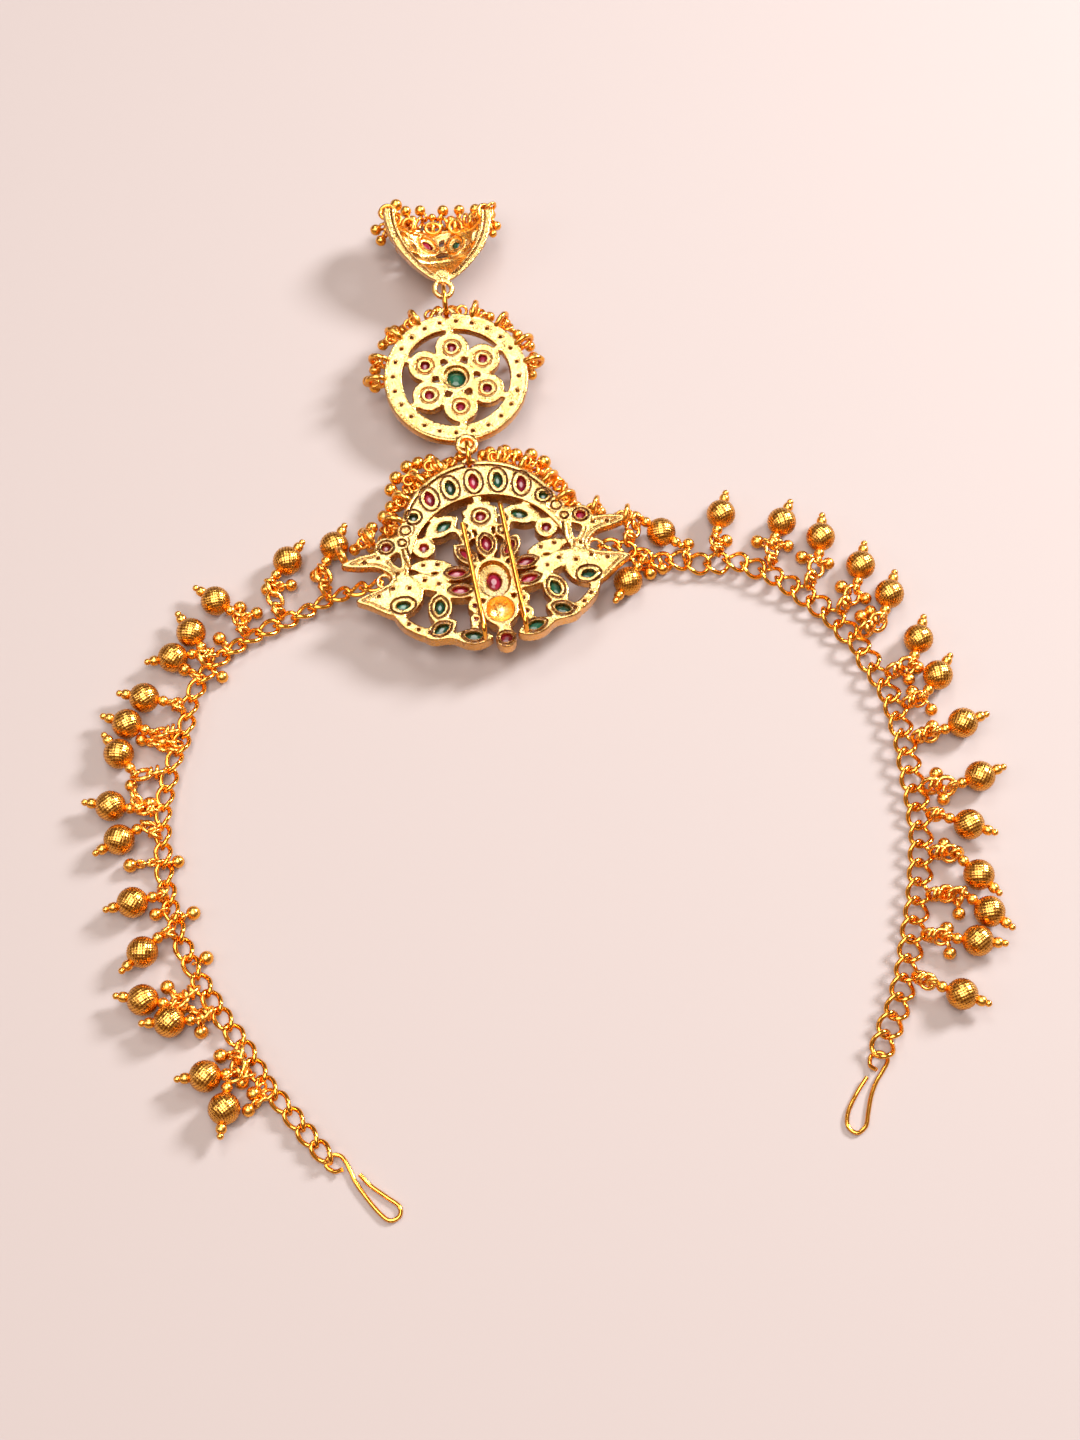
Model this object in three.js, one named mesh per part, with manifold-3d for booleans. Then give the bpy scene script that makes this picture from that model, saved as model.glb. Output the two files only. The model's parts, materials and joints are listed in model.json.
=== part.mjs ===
// A hair chain lying face down: a plaque, a disc and a half bell linked in a row, with a curb
// chain of bead drops and a hook on each side of the plaque. Millimetres, +Z up, back side up.
import * as THREE from "three";
import { mergeVertices } from "three/addons/utils/BufferGeometryUtils.js";
import Module from "manifold-3d";

const wasm = await Module();
wasm.setup();

// Driving dimensions
const GAP = 0.35; // clearance between pieces that touch on the real thing
const SLIVER = 0.004; // edges that a join or a cut leaves shorter than this are closed

const PLAQUE = { x: -10.96, y: 35.71, turn: 11.2 };
const PLAQUE_BACK = 8.8;
const PLAQUE_BOTTOM = 5.6;
const THIN_BOTTOM = 6.4; // underside of the birds' tails and wings
const BAND_RISE = 0.4; // the arch band stands this much above the openwork
const BAND_OUTER = { y: 2.5, r: 17.2 };
const BAND_INNER = { y: -5, r: 16.4 };
const BAND_FOOT = -3.2; // the band's two ends stop at this y

const DISC = { x: -17.85, y: 76.56, z: 8.6, turn: 8.5, tilt: 5 };
const DISC_R = 15.4;
const DISC_BORE = 11.5;
const DISC_THICK = 2.2;
const PETAL_RING = 7.15;
const PETAL_R = 3.65;

const BELL = { x: -21.1, y: 101, z: 9.6, turn: 6, tilt: 10, roll: 8 };
const BELL_LENGTH = 17.2;
const BELL_WALL = 1.3;

const EYE = { ring: 1.9, wire: 0.6 }; // the round eyes of the disc and the bell
const LUG = { r: 2.1, hole: 1, thick: 1.6 };
const LINK_WIRE = 0.5;
const BEYOND = 20; // cutting tools reach this far, past every casting

const BEAD_R = 3;
const CHAIN_WIDE = 4.2;
const CHAIN_HIGH = 2.4;
const CHAIN_Z = 1.25;
const HOOK_WIRE = 0.45;
const PIN = { wire: 0.5, z: 11.9, x: 4.2, foot: -21.4, leftEnd: 3.8, rightEnd: 6.8 };

// Materials
const gold = () => new THREE.MeshStandardMaterial({ color: 0xe0a030, roughness: 0.3, metalness: 1 });
const ruby = () => new THREE.MeshStandardMaterial({ color: 0xa3203c, roughness: 0.1, metalness: 0 });
const emerald = () => new THREE.MeshStandardMaterial({ color: 0x1c6b4c, roughness: 0.1, metalness: 0 });

// Solids
function solid(geometry) {
  const bare = geometry.clone();
  bare.deleteAttribute("normal");
  bare.deleteAttribute("uv");
  const merged = mergeVertices(bare, 1e-4);
  const made = new wasm.Manifold(
    new wasm.Mesh({
      numProp: 3,
      vertProperties: merged.attributes.position.array,
      triVerts: new Uint32Array(merged.index.array),
    }),
  );
  return made;
}

function geometryOf(made) {
  const mesh = made.simplify(SLIVER).getMesh();
  const geometry = new THREE.BufferGeometry();
  geometry.setAttribute("position", new THREE.BufferAttribute(mesh.vertProperties, 3));
  geometry.setIndex(new THREE.BufferAttribute(mesh.triVerts, 1));
  return geometry;
}

const join = (...geometries) =>
  geometryOf(geometries.map(solid).reduce((all, next) => all.add(next)));

const cut = (body, ...tools) =>
  geometryOf(tools.map(solid).reduce((left, tool) => left.subtract(tool), solid(body)));

const mirrored = (build) => [1, -1].flatMap((side) => build(side));

// Outlines
const rad = THREE.MathUtils.degToRad;

function ellipse(x, y, a, b, turn = 0, sides = 12) {
  const curve = new THREE.EllipseCurve(x, y, a, b, 0, 2 * Math.PI, false, rad(turn));
  return new THREE.Shape(curve.getPoints(sides).slice(0, -1));
}

const circle = (x, y, r, sides = 12) => ellipse(x, y, r, r, 0, sides);

// A pointed leaf: half-length a, half-width b, along the direction turn
function leaf(x, y, a, b, turn = 0, steps = 4) {
  const points = [];
  for (const side of [1, -1]) {
    for (let i = 0; i < steps; i++) {
      const s = -Math.cos((Math.PI * i) / steps);
      points.push(new THREE.Vector2(side * a * s, side * -b * (1 - s * s)));
    }
  }
  return new THREE.Shape(
    points.map((p) => p.rotateAround(new THREE.Vector2(), rad(turn)).add(new THREE.Vector2(x, y))),
  );
}

function rectangle([left, low], [right, high]) {
  const corners = [[left, low], [right, low], [right, high], [left, high]];
  return new THREE.Shape(corners.map(([x, y]) => new THREE.Vector2(x, y)));
}

// A strap of constant width along a smooth line of points
function strap(points, width, steps = 10) {
  const line = new THREE.SplineCurve(points.map(([x, y]) => new THREE.Vector2(x, y)));
  const sides = [[], []];
  for (let i = 0; i <= steps; i++) {
    const at = line.getPoint(i / steps);
    const across = line.getTangent(i / steps).rotateAround(new THREE.Vector2(), Math.PI / 2);
    sides[0].push(at.clone().addScaledVector(across, width / 2));
    sides[1].unshift(at.clone().addScaledVector(across, -width / 2));
  }
  return new THREE.Shape([...sides[0], ...sides[1]]);
}

// Solids of one outline, one line or one profile
function plate(shape, bottom, top) {
  const depth = top - bottom;
  return new THREE.ExtrudeGeometry(shape, { depth, bevelEnabled: false }).translate(0, 0, bottom);
}

function wire(points, wide, high = wide, { sides = 8, steps = 24 } = {}) {
  const section = ellipse(0, 0, wide / 2, high / 2, 0, sides);
  const route = new THREE.CatmullRomCurve3(points.map((p) => new THREE.Vector3(...p)));
  return new THREE.ExtrudeGeometry(section, { extrudePath: route, steps, bevelEnabled: false });
}

// A turned solid round +Z from [radius, height] rows
function turned(rows, sides = 12) {
  const profile = rows.map(([r, h]) => new THREE.Vector2(r, h));
  return new THREE.LatheGeometry(profile, sides).rotateX(Math.PI / 2);
}

function cluster(at, wide, high) {
  const ball = new THREE.SphereGeometry(wide / 2, 7, 4).rotateX(Math.PI / 2);
  return ball.scale(1, 1, high / wide).translate(...at);
}

// Cutting tools: a hole of an outline right through, and everything on one side of a line
const through = (shape, bottom = -BEYOND, top = BEYOND) => plate(shape, bottom, top);

const eye = (x, y, z, { ring, wire: w } = EYE) =>
  new THREE.TorusGeometry(ring, w, 6, 14).translate(x, y, z);

// Plaque, in its own frame: x across, y along its axis towards the disc, back at PLAQUE_BACK.
// The right half is listed and mirrored.
const LEAVES = [
  // x, y, half-length, half-width, turn
  [8.4, 5.75, 4.1, 2.3, -24], // upper leaf with an emerald
  [4.6, -1.6, 3.5, 1.9, 52], // inner petal with a ruby
  [12.3, -2.8, 4.6, 1.6, 6], // side leaf, upper
  [12.8, -6.6, 5.2, 1.9, 24], // side leaf, lower
  [7.2, -5.5, 4.1, 1.7, 6], // ruby petal, upper
  [7.3, -9.6, 4.3, 1.8, 10], // ruby petal, lower
  [11.9, -12.6, 3.9, 2.5, 105], // hanging leaf with an emerald
  [12.4, -17.5, 3.6, 2.1, -22], // rim leaf
  [6.4, -20.4, 4, 1.8, 12], // lowest leaf
];
const ROUNDS = [
  // x, y, radius
  [12.75, 1.6, 2.4], // roundel with a ruby
  [3.75, 2.75, 1.6], // curl
  [20.3, 3.1, 2.4], // roundel over the bird
  [4.9, -13.6, 1.5], // scroll beside the dome
  [5.2, -16.6, 1.3],
];
const STRAPS = [
  // width, line
  [1.5, [[8.6, 7], [10.3, 8.4], [11, 9.4]]],
  [1.3, [[3.8, 2.6], [4.2, 0.8], [4.6, -0.8]]],
  [1.2, [[4, 3], [5.4, 4.2], [6.8, 5.4]]],
  [2, [[20.6, -11.8], [19.2, -14.8], [16.6, -17.1], [14.2, -18.2]]],
  [1.5, [[14.5, -18.5], [11.5, -19.1], [9.4, -19.7], [8, -20.4]]],
  [1.4, [[11.6, -15.3], [12.8, -16.6], [13.4, -17.6]]],
  [1.3, [[5.2, -12.6], [4.2, -11.8], [3, -11.5]]],
  [1.3, [[5.4, -16.6], [5.8, -18.2], [6.4, -19.6]]],
];
const BIRD = [
  [16.4, 4.6], [18.4, 5.4], [22.8, 2.6], [26, 2.2], [30, 0.9], [27, -0.4], [23.3, -1.1],
  [21, -2.7], [20.4, -4.2], [22.2, -5.7], [26, -6.8], [28.3, -8], [25.5, -9.9], [21.7, -12.6],
  [18.4, -12.9], [15.6, -11.2], [14.9, -8.6], [15.4, -6], [16.6, -4.4], [16.5, -2], [16.3, 1],
];
const BIRD_HOLE = [[18, 1.4], [18.2, -2], [19.9, 0.5]];
const BIRD_THICK = [17.9, -8.2, 3.4];
const ARCH_STONES = [
  // x, y, turn, stone
  [-9.65, 12.5, 8, ruby],
  [-5, 14.3, 4, emerald],
  [0, 14.9, 0, ruby],
  [5, 14.3, -4, emerald],
  [9.65, 12.5, -8, ruby],
];
const ARCH_STONE = { long: 1.95, wide: 1.05 }; // half sizes
const CENTRE_STONE = { y: -8.2, long: 2.05, wide: 1.55 };

// Leaves, bosses and straps on the middle line
const MIDDLE = [
  circle(0, 6.7, 3.9), // flower
  ellipse(0, 0.2, 2.3, 3.4), // petal with a ruby
  ellipse(0, CENTRE_STONE.y, 4.3, 5.1, 0, 20), // boss of the centre stone
  circle(0, -15.3, 3.7), // dome
  circle(0, -21.9, 2.1), // finial
  strap([[0, -18], [0, -21]], 2.6, 1),
  strap([[0, 9.5], [0, 12.5]], 1.8, 1),
];
// The front of the boss and of the dome: radius, height above the floor
const BOSS_FRONT = [[0, 0.05], [2.2, 0.05], [3.6, 1.4], [4, 3], [4, 6.2], [0, 6.2]];
const DOME = { y: -15.3, front: [[0, 1.6], [1.8, 2.2], [3, 3.6], [3.4, 5.2], [3.4, 6.2], [0, 6.2]] };
const DOME_HOLLOW = [[0, 5.2], [1.6, 5.7], [2.5, 7.2], [2.9, 9.5], [0, 9.5]];
const STONE_SEAT = 3; // the centre stone's well goes down to this height
const PLAQUE_LUG = 19; // y of the lug that the disc's link passes through
const CHAIN_EYE = { x: 21.9, y: -4, z: 7.5, ring: 1.4, wire: 0.4 };

const flip = (side, rows) => rows.map(([x, y]) => new THREE.Vector2(side * x, y));

function archBand() {
  const { y: outerY, r: outerR } = BAND_OUTER;
  const { y: innerY, r: innerR } = BAND_INNER;
  const outer = circle(0, outerY, outerR, 40);
  const inner = circle(0, innerY, innerR, 40);
  const foot = rectangle([-BEYOND, -BEYOND], [BEYOND, BAND_FOOT]);
  return cut(plate(outer, PLAQUE_BOTTOM, PLAQUE_BACK + BAND_RISE), through(inner), through(foot));
}

function bird(side) {
  const shape = new THREE.Shape(flip(side, BIRD));
  shape.holes.push(new THREE.Path(flip(side, BIRD_HOLE)));
  const [x, y, r] = BIRD_THICK;
  return [plate(shape, THIN_BOTTOM, PLAQUE_BACK), plate(circle(side * x, y, r), PLAQUE_BOTTOM, PLAQUE_BACK)];
}

function openwork(side) {
  const shapes = [
    ...LEAVES.map(([x, y, a, b, turn]) => leaf(side * x, y, a, b, side * turn + (side < 0 ? 180 : 0))),
    ...ROUNDS.map(([x, y, r]) => circle(side * x, y, r)),
    ...STRAPS.map(([width, line]) => strap(line.map(([x, y]) => [side * x, y]), width, 6)),
  ];
  return shapes.map((shape) => plate(shape, PLAQUE_BOTTOM, PLAQUE_BACK));
}

function hairPin(side) {
  const x = side * PIN.x;
  const end = side < 0 ? PIN.leftEnd : PIN.rightEnd;
  const bend = [[x, PIN.foot, PLAQUE_BACK - 0.6], [x, PIN.foot + 0.3, 10.6], [x, PIN.foot + 2.4, PIN.z]];
  const section = { sides: 6, steps: 12 };
  return wire([...bend, [x, -8, PIN.z], [x, end, PIN.z]], 2 * PIN.wire, 2 * PIN.wire, section);
}

function plaque() {
  const lug = plate(circle(0, PLAQUE_LUG, LUG.r), PLAQUE_BACK - LUG.thick, PLAQUE_BACK);
  const body = join(
    archBand(),
    lug,
    ...MIDDLE.map((shape) => plate(shape, PLAQUE_BOTTOM, PLAQUE_BACK)),
    turned(BOSS_FRONT, 14).translate(0, CENTRE_STONE.y, 0),
    turned(DOME.front, 14).translate(0, DOME.y, 0),
    ...mirrored(bird),
    ...mirrored(openwork),
    ...mirrored((side) => [hairPin(side)]),
    ...mirrored((side) => [eye(side * CHAIN_EYE.x, CHAIN_EYE.y, CHAIN_EYE.z, CHAIN_EYE)]),
  );
  const marquises = ARCH_STONES.map(([x, y, turn]) =>
    through(ellipse(x, y, ARCH_STONE.wide + GAP, ARCH_STONE.long + GAP, turn, 12)),
  );
  const centre = ellipse(0, CENTRE_STONE.y, CENTRE_STONE.wide + GAP, CENTRE_STONE.long + GAP);
  return cut(
    body,
    ...marquises,
    through(centre, STONE_SEAT),
    turned(DOME_HOLLOW, 14).translate(0, DOME.y, 0),
    through(circle(0, PLAQUE_LUG + 0.3, LUG.hole, 10)),
    through(circle(0, PLAQUE_LUG + 1, 2), -BEYOND, PLAQUE_BACK - LUG.thick),
  );
}

// Disc, in its own frame with its back at z = 0
const BOSS_BACK = [[0, -6.2], [2.2, -6], [3.4, -4.8], [3.8, -3], [3.8, 0], [0, 0]];
const BOSS_GAP = { r: 0.6, ring: 4.35 }; // small three-sided holes between the boss and the petals
const DISC_STONE = { r: 1.9, seat: -4.6, z: -2.4 };
const DISC_LUG = { y: 15.1, hole: 15.3 };
const DISC_EYE = { y: -16.6, z: 0.3 };

function disc() {
  const six = (first, build) =>
    [0, 1, 2, 3, 4, 5].flatMap((i) => {
      const angle = rad(first + 60 * i);
      return build(Math.cos(angle), Math.sin(angle));
    });
  const petals = six(90, (x, y) => [
    circle(PETAL_RING * x, PETAL_RING * y, PETAL_R, 16),
    strap([[PETAL_RING * x, PETAL_RING * y], [12 * x, 12 * y]], 1.6, 1),
  ]);
  const gaps = six(60, (x, y) => [circle(BOSS_GAP.ring * x, BOSS_GAP.ring * y, BOSS_GAP.r, 3)]);
  const lugs = mirrored((side) => [plate(circle(0, side * DISC_LUG.y, LUG.r), -LUG.thick, 0)]);
  const band = cut(plate(circle(0, 0, DISC_R, 40), -DISC_THICK, 0), through(circle(0, 0, DISC_BORE, 32)));
  const body = join(
    band,
    turned(BOSS_BACK, 16),
    ...petals.map((shape) => plate(shape, -DISC_THICK, 0)),
    ...lugs,
    eye(0, DISC_EYE.y, DISC_EYE.z),
  );
  return cut(
    body,
    ...gaps.map((shape) => through(shape)),
    through(circle(0, DISC_LUG.hole, LUG.hole, 10)),
    through(circle(0, 0, DISC_STONE.r + GAP, 16), DISC_STONE.seat),
    through(circle(0, DISC_EYE.y, EYE.ring - EYE.wire, 10)),
  );
}

// Half bell, in its own frame: apex at the origin, axis along +y, open towards +z and at its mouth
const BELL_PROFILE = [
  // distance from the apex, outer radius
  [0, 1.6], [0.9, 3.2], [3.7, 6.2], [7.2, 8.9], [10.6, 10.6], [14, 11.5], [BELL_LENGTH, 11.7],
];

const BELL_EYE = { y: -2.1, z: -0.4 };

function bell() {
  const outer = BELL_PROFILE.map(([s, r]) => [r, s]);
  const inner = BELL_PROFILE.map(([s, r]) => [Math.max(r - BELL_WALL, 0.4), s + (s < 2 ? BELL_WALL : 0)]);
  inner[inner.length - 1][1] = BELL_LENGTH;
  const rows = [[0, 0], ...outer, ...inner.reverse(), [0, BELL_WALL]];
  const shell = turned(rows, 28).rotateX(-Math.PI / 2);
  const above = through(rectangle([-BEYOND, -5], [BEYOND, 30]), 0);
  const tongue = plate(circle(0, 0.9, 1.6), -1.4, 0);
  const body = cut(join(shell, tongue), above);
  return join(body, eye(0, BELL_EYE.y, BELL_EYE.z));
}

// Drops: bead on a pin, in the same plan as the chains. turn is the way the tip points.
const DROP_PROFILE = [
  // radius, distance from the bead's middle towards the tip
  [0, -5], [1.05, -4.1], [0.8, -3.1], [2.14, -2.1], [BEAD_R, 0], [2.14, 2.1], [0.8, 3.1],
  [1.1, 3.9], [0.45, 4.7], [0.75, 5.5], [0, 6.2],
];

function drop({ x, y, turn }, seat, clear) {
  const bead = turned(DROP_PROFILE, 8).rotateY(Math.PI / 2).rotateZ(rad(turn));
  bead.translate(x, y, BEAD_R);
  const collar = new THREE.Vector3(-4, 0, 0).applyAxisAngle(new THREE.Vector3(0, 0, 1), rad(turn));
  collar.add(new THREE.Vector3(x, y, BEAD_R));
  const end = seat.clone().addScaledVector(collar.clone().sub(seat).normalize(), clear);
  if (collar.distanceTo(end) < 0.6 || collar.distanceTo(seat) < clear) return bead;
  return join(bead, wire([collar.toArray(), end.toArray()], 0.9, 0.9, { sides: 6, steps: 1 }));
}

const LEFT_DROPS = [
  // x, y of the bead, turn, x and y of the link it hangs on
  [-42.7, 38.4, 68, -44, 27],
  [-52.2, 34.9, 57, -53, 21.5],
  [-66.5, 25.5, 145, -60, 17.5],
  [-71, 18.2, 125, -64.5, 13],
  [-74.3, 12.5, 191, -67.5, 10],
  [-79.4, 3.5, 169, -70.5, 0.5],
  [-82.4, -2.3, 161, -71, -3],
  [-83.5, -8.8, 129, -73, -12],
  [-84.2, -20, 172, -74, -20.5],
  [-81.9, -27.1, 213, -74, -27],
  [-78.3, -40.1, 196, -72.5, -37.5],
  [-75.6, -50.1, 226, -69, -47.5],
  [-74.8, -59.6, 171, -64, -56.5],
  [-69.5, -63.8, 184, -61.5, -60.5],
  [-62.1, -74.3, 186, -56.5, -67.5],
  [-58.2, -80.4, 266, -52.5, -73.5],
];
const RIGHT_DROPS = [
  [25.2, 41.7, -38, 18.6, 45.6],
  [18.1, 30.1, 240, 21.5, 36],
  [37.8, 46.1, 77, 37, 36],
  [50.4, 44.2, 67, 48, 33.5],
  [58.3, 40.6, 83, 55, 29],
  [66.2, 33.9, 78, 61, 23.5],
  [71.7, 27.2, 74, 64.5, 18.5],
  [76.9, 16.8, 74, 69, 9.5],
  [80.2, 8.6, 57, 72, 2.5],
  [84.4, -2, 21, 73.3, -5],
  [86.8, -13.6, 22, 74.5, -15],
  [83.8, -23.9, -19, 75.2, -21],
  [84.8, -34.4, -46, 75, -29],
  [86.2, -41.9, -38, 74, -38],
  [83.5, -47.8, -6, 72.5, -46],
  [79.6, -58.4, -21, 70.5, -54],
];

// Chain routes from the plaque to the hook, chosen by hand
const LEFT_ROUTE = [
  [-34.3, 27.2, 6.2], [-37.6, 27.4, 4.2], [-41, 27, 2.8], [-44.5, 25.8, 1.7], [-49.5, 22.8, CHAIN_Z],
  [-56.5, 19.2, CHAIN_Z], [-63, 14.6, CHAIN_Z], [-67.5, 9.7, CHAIN_Z], [-70.3, 3, CHAIN_Z],
  [-71, -3.6, CHAIN_Z], [-73, -11, CHAIN_Z], [-74, -20, CHAIN_Z], [-73.5, -28, CHAIN_Z],
  [-72.4, -36, CHAIN_Z], [-70, -44, CHAIN_Z], [-67, -51, CHAIN_Z], [-63.5, -57, CHAIN_Z],
  [-59.5, -63, CHAIN_Z], [-55, -69, CHAIN_Z], [-51, -75.5, CHAIN_Z], [-46.5, -80.5, CHAIN_Z],
  [-42.5, -85.3, CHAIN_Z], [-39.9, -88.2, CHAIN_Z],
];
const RIGHT_ROUTE = [
  [14.1, 36.9, 6.2], [17.4, 37.6, 4.2], [20.5, 36.6, 2.8], [24, 36, 1.7], [28, 36.6, CHAIN_Z],
  [34, 35.6, CHAIN_Z], [40, 36.2, CHAIN_Z], [46.5, 33.7, CHAIN_Z], [53, 29.7, CHAIN_Z],
  [59.5, 24.2, CHAIN_Z], [65, 17.2, CHAIN_Z], [69, 9.8, CHAIN_Z], [72, 2.4, CHAIN_Z],
  [73.3, -5, CHAIN_Z], [74.3, -13, CHAIN_Z], [75.2, -21, CHAIN_Z], [75, -29, CHAIN_Z],
  [74, -37, CHAIN_Z], [72.5, -45, CHAIN_Z], [70.8, -52, CHAIN_Z], [68.5, -60, CHAIN_Z],
  [64.95, -68.2, CHAIN_Z],
];

const chain = (route) => wire(route, CHAIN_WIDE, CHAIN_HIGH, { sides: 8, steps: 62 });

// The point of a route that is nearest to a place in plan
function nearest(route, x, y) {
  const curve = new THREE.CatmullRomCurve3(route.map((p) => new THREE.Vector3(...p)));
  const far = (p) => Math.hypot(p.x - x, p.y - y);
  return curve.getSpacedPoints(300).reduce((best, p) => (far(p) < far(best) ? p : best));
}

// Hooks: bent wire, an eye at the chain and a narrow open bend that ends beside the neck
const LEFT_HOOK = [
  [-36.2, -91.3, 1.4], [-37.6, -91.5, 0.6], [-39.2, -90.4, 0.5], [-38.6, -88.6, 0.5],
  [-36.6, -88.6, 0.5], [-35.1, -90.6, 0.5], [-33.7, -93.4, 0.5], [-31.8, -96, 0.5],
  [-29.2, -99, 0.5], [-27.2, -100.4, 0.5], [-25.5, -99.6, 0.5], [-25.6, -97.8, 0.5],
  [-28, -96.1, 0.5], [-31, -94, 0.5], [-33, -92.1, 1.2],
];
const RIGHT_HOOK = [
  [62.7, -72.6, 1.5], [61.7, -71.5, 0.7], [62.1, -69.6, 0.5], [63.9, -69, 0.5], [65.1, -70.4, 0.5],
  [64, -72.6, 0.5], [62.7, -74.6, 0.5], [61.6, -77.2, 0.5], [60.8, -80.5, 0.5], [60.2, -83, 0.5],
  [58.5, -84.3, 0.5], [56.9, -83, 0.5], [57.1, -80.4, 0.5], [58.8, -77, 0.5], [60.9, -73.9, 1.2],
];

const hook = (points) => wire(points, 2 * HOOK_WIRE, 2 * HOOK_WIRE, { sides: 6, steps: 44 });

// A row of small ball clusters: a strand with a swelling at each jump ring
function fringe(rows) {
  const places = rows.map(({ at }) => at);
  const strand = wire(places, 1.6, 1.6, { sides: 4, steps: rows.length });
  return join(strand, ...rows.map(({ at, wide, high }) => cluster(at, wide, high)));
}

const onCircle = (cx, cy, r, angle) => [cx + r * Math.sin(rad(angle)), cy + r * Math.cos(rad(angle))];

// Along the arch, then over the bird's tail
const ARCH_FRINGE = { r: 20.8, z: 4, wide: 6.4, high: 6.2, angles: [11, 23, 35, 47, 59, 70] };
const TAIL_FRINGE = [
  // x, y, width
  [23.2, 8, 4.2],
  [27.6, 4.8, 3.4],
];

function archFringe(side) {
  const { r, z, wide, high, angles } = ARCH_FRINGE;
  return fringe([
    ...angles.map((a) => ({ at: [...onCircle(0, BAND_OUTER.y, r, side * a), z], wide, high })),
    ...TAIL_FRINGE.map(([x, y, width]) => ({ at: [side * x, y, z], wide: width, high })),
  ]);
}

const DISC_FRINGE = { r: 17.8, z: -3.8, wide: 4, high: 6, angles: [24, 44, 64, 84] };

function discFringe(side) {
  const { r, z, wide, high, angles } = DISC_FRINGE;
  return fringe(angles.map((a) => ({ at: [...onCircle(0, 0, r, side * a), z], wide, high })));
}

// Round the bell's mouth, just beyond its edge, and down the outside at both ends
const BELL_FRINGE = { r: 9.4, beyond: 2.3, ball: 3.8, angles: [-52, -26, 0, 26, 52] };
const BELL_FRINGE_ENDS = [
  // angle, radius, distance from the apex
  [70, 13.9, 14.6],
  [72, 14, 17.6],
  [76, 11.4, 19.9],
];

function bellFringe() {
  const { r, beyond, ball, angles } = BELL_FRINGE;
  const row = ([angle, radius, along]) => {
    const [x, z] = onCircle(0, 0, radius, angle);
    return { at: [x, along, -z], wide: ball, high: ball };
  };
  return fringe([
    ...BELL_FRINGE_ENDS.map(([angle, ...rest]) => row([-angle, ...rest])),
    ...angles.map((angle) => row([angle, r, BELL_LENGTH + beyond])),
    ...BELL_FRINGE_ENDS.toReversed().map(row),
  ]);
}

// Stones seen through the open back
const cabochon = (a, b, high) =>
  turned([[0, -high / 2], [0.7, -high / 2], [1, 0], [0.7, high / 2], [0, high / 2]], 12).scale(a, b, 1);

function mesh(name, geometry, material) {
  const made = new THREE.Mesh(geometry, material);
  made.name = name;
  return made;
}

const two = (i) => String(i + 1).padStart(2, "0");

const plaqueGroup = new THREE.Group();
plaqueGroup.position.set(PLAQUE.x, PLAQUE.y, 0);
plaqueGroup.rotation.z = rad(PLAQUE.turn);
plaqueGroup.add(mesh("plaque", plaque(), gold()));
plaqueGroup.add(mesh("fringe_arch_left", archFringe(-1), gold()));
plaqueGroup.add(mesh("fringe_arch_right", archFringe(1), gold()));
ARCH_STONES.forEach(([x, y, turn, stone], i) => {
  const shape = cabochon(ARCH_STONE.wide, ARCH_STONE.long, 1.6).rotateZ(rad(turn));
  plaqueGroup.add(mesh(`arch_stone_${two(i)}`, shape.translate(x, y, 7.4), stone()));
});
const centreStone = cabochon(CENTRE_STONE.wide, CENTRE_STONE.long, 1.6).translate(0, CENTRE_STONE.y, 6);
plaqueGroup.add(mesh("centre_stone", centreStone, ruby()));

const discGroup = new THREE.Group();
discGroup.position.set(DISC.x, DISC.y, DISC.z);
discGroup.rotation.set(rad(DISC.tilt), 0, rad(DISC.turn), "ZYX");
discGroup.add(mesh("disc", disc(), gold()));
const discStone = cabochon(DISC_STONE.r, DISC_STONE.r, 1.8).translate(0, 0, DISC_STONE.z);
discGroup.add(mesh("disc_stone", discStone, emerald()));
discGroup.add(mesh("fringe_disc_left", discFringe(-1), gold()));
discGroup.add(mesh("fringe_disc_right", discFringe(1), gold()));

const bellGroup = new THREE.Group();
bellGroup.position.set(BELL.x, BELL.y, BELL.z);
bellGroup.rotation.set(rad(BELL.tilt), rad(BELL.roll), rad(BELL.turn), "ZYX");
bellGroup.add(mesh("bell", bell(), gold()));
bellGroup.add(mesh("fringe_bell", bellFringe(), gold()));

const table = new THREE.Group();
table.add(plaqueGroup, discGroup, bellGroup);
table.updateMatrixWorld(true);

// A link ring stands on edge and passes through two eyes, given in their own groups
function link(name, groupA, a, groupB, b) {
  const from = groupA.localToWorld(new THREE.Vector3(...a));
  const to = groupB.localToWorld(new THREE.Vector3(...b));
  const ring = new THREE.TorusGeometry(from.distanceTo(to) / 2, LINK_WIRE, 6, 18);
  const along = to.clone().sub(from).normalize();
  const side = new THREE.Vector3().crossVectors(along, new THREE.Vector3(0, 0, 1)).normalize();
  const made = mesh(name, ring, gold());
  const basis = new THREE.Matrix4().makeBasis(along, new THREE.Vector3().crossVectors(side, along), side);
  made.quaternion.setFromRotationMatrix(basis);
  made.position.copy(from).lerp(to, 0.5);
  table.add(made);
}

link("link_bell", discGroup, [0, DISC_LUG.hole, -0.8], bellGroup, [0, BELL_EYE.y, BELL_EYE.z]);
link("link_disc", plaqueGroup, [0, PLAQUE_LUG, 8.2], discGroup, [0, DISC_EYE.y, DISC_EYE.z]);

function side(name, route, drops, hookLine) {
  table.add(mesh(`chain_${name}`, chain(route), gold()));
  table.add(mesh(`hook_${name}`, hook(hookLine), gold()));
  drops.forEach(([x, y, turn, linkX, linkY], i) => {
    const onTail = name === "right" && i === 0;
    const seat = onTail ? new THREE.Vector3(linkX, linkY, 4) : nearest(route, linkX, linkY);
    const clear = onTail ? 0.2 : CHAIN_WIDE / 2 + 0.5;
    table.add(mesh(`drop_${name}_${two(i)}`, drop({ x, y, turn }, seat, clear), gold()));
  });
}

side("left", LEFT_ROUTE, LEFT_DROPS, LEFT_HOOK);
side("right", RIGHT_ROUTE, RIGHT_DROPS, RIGHT_HOOK);

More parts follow.
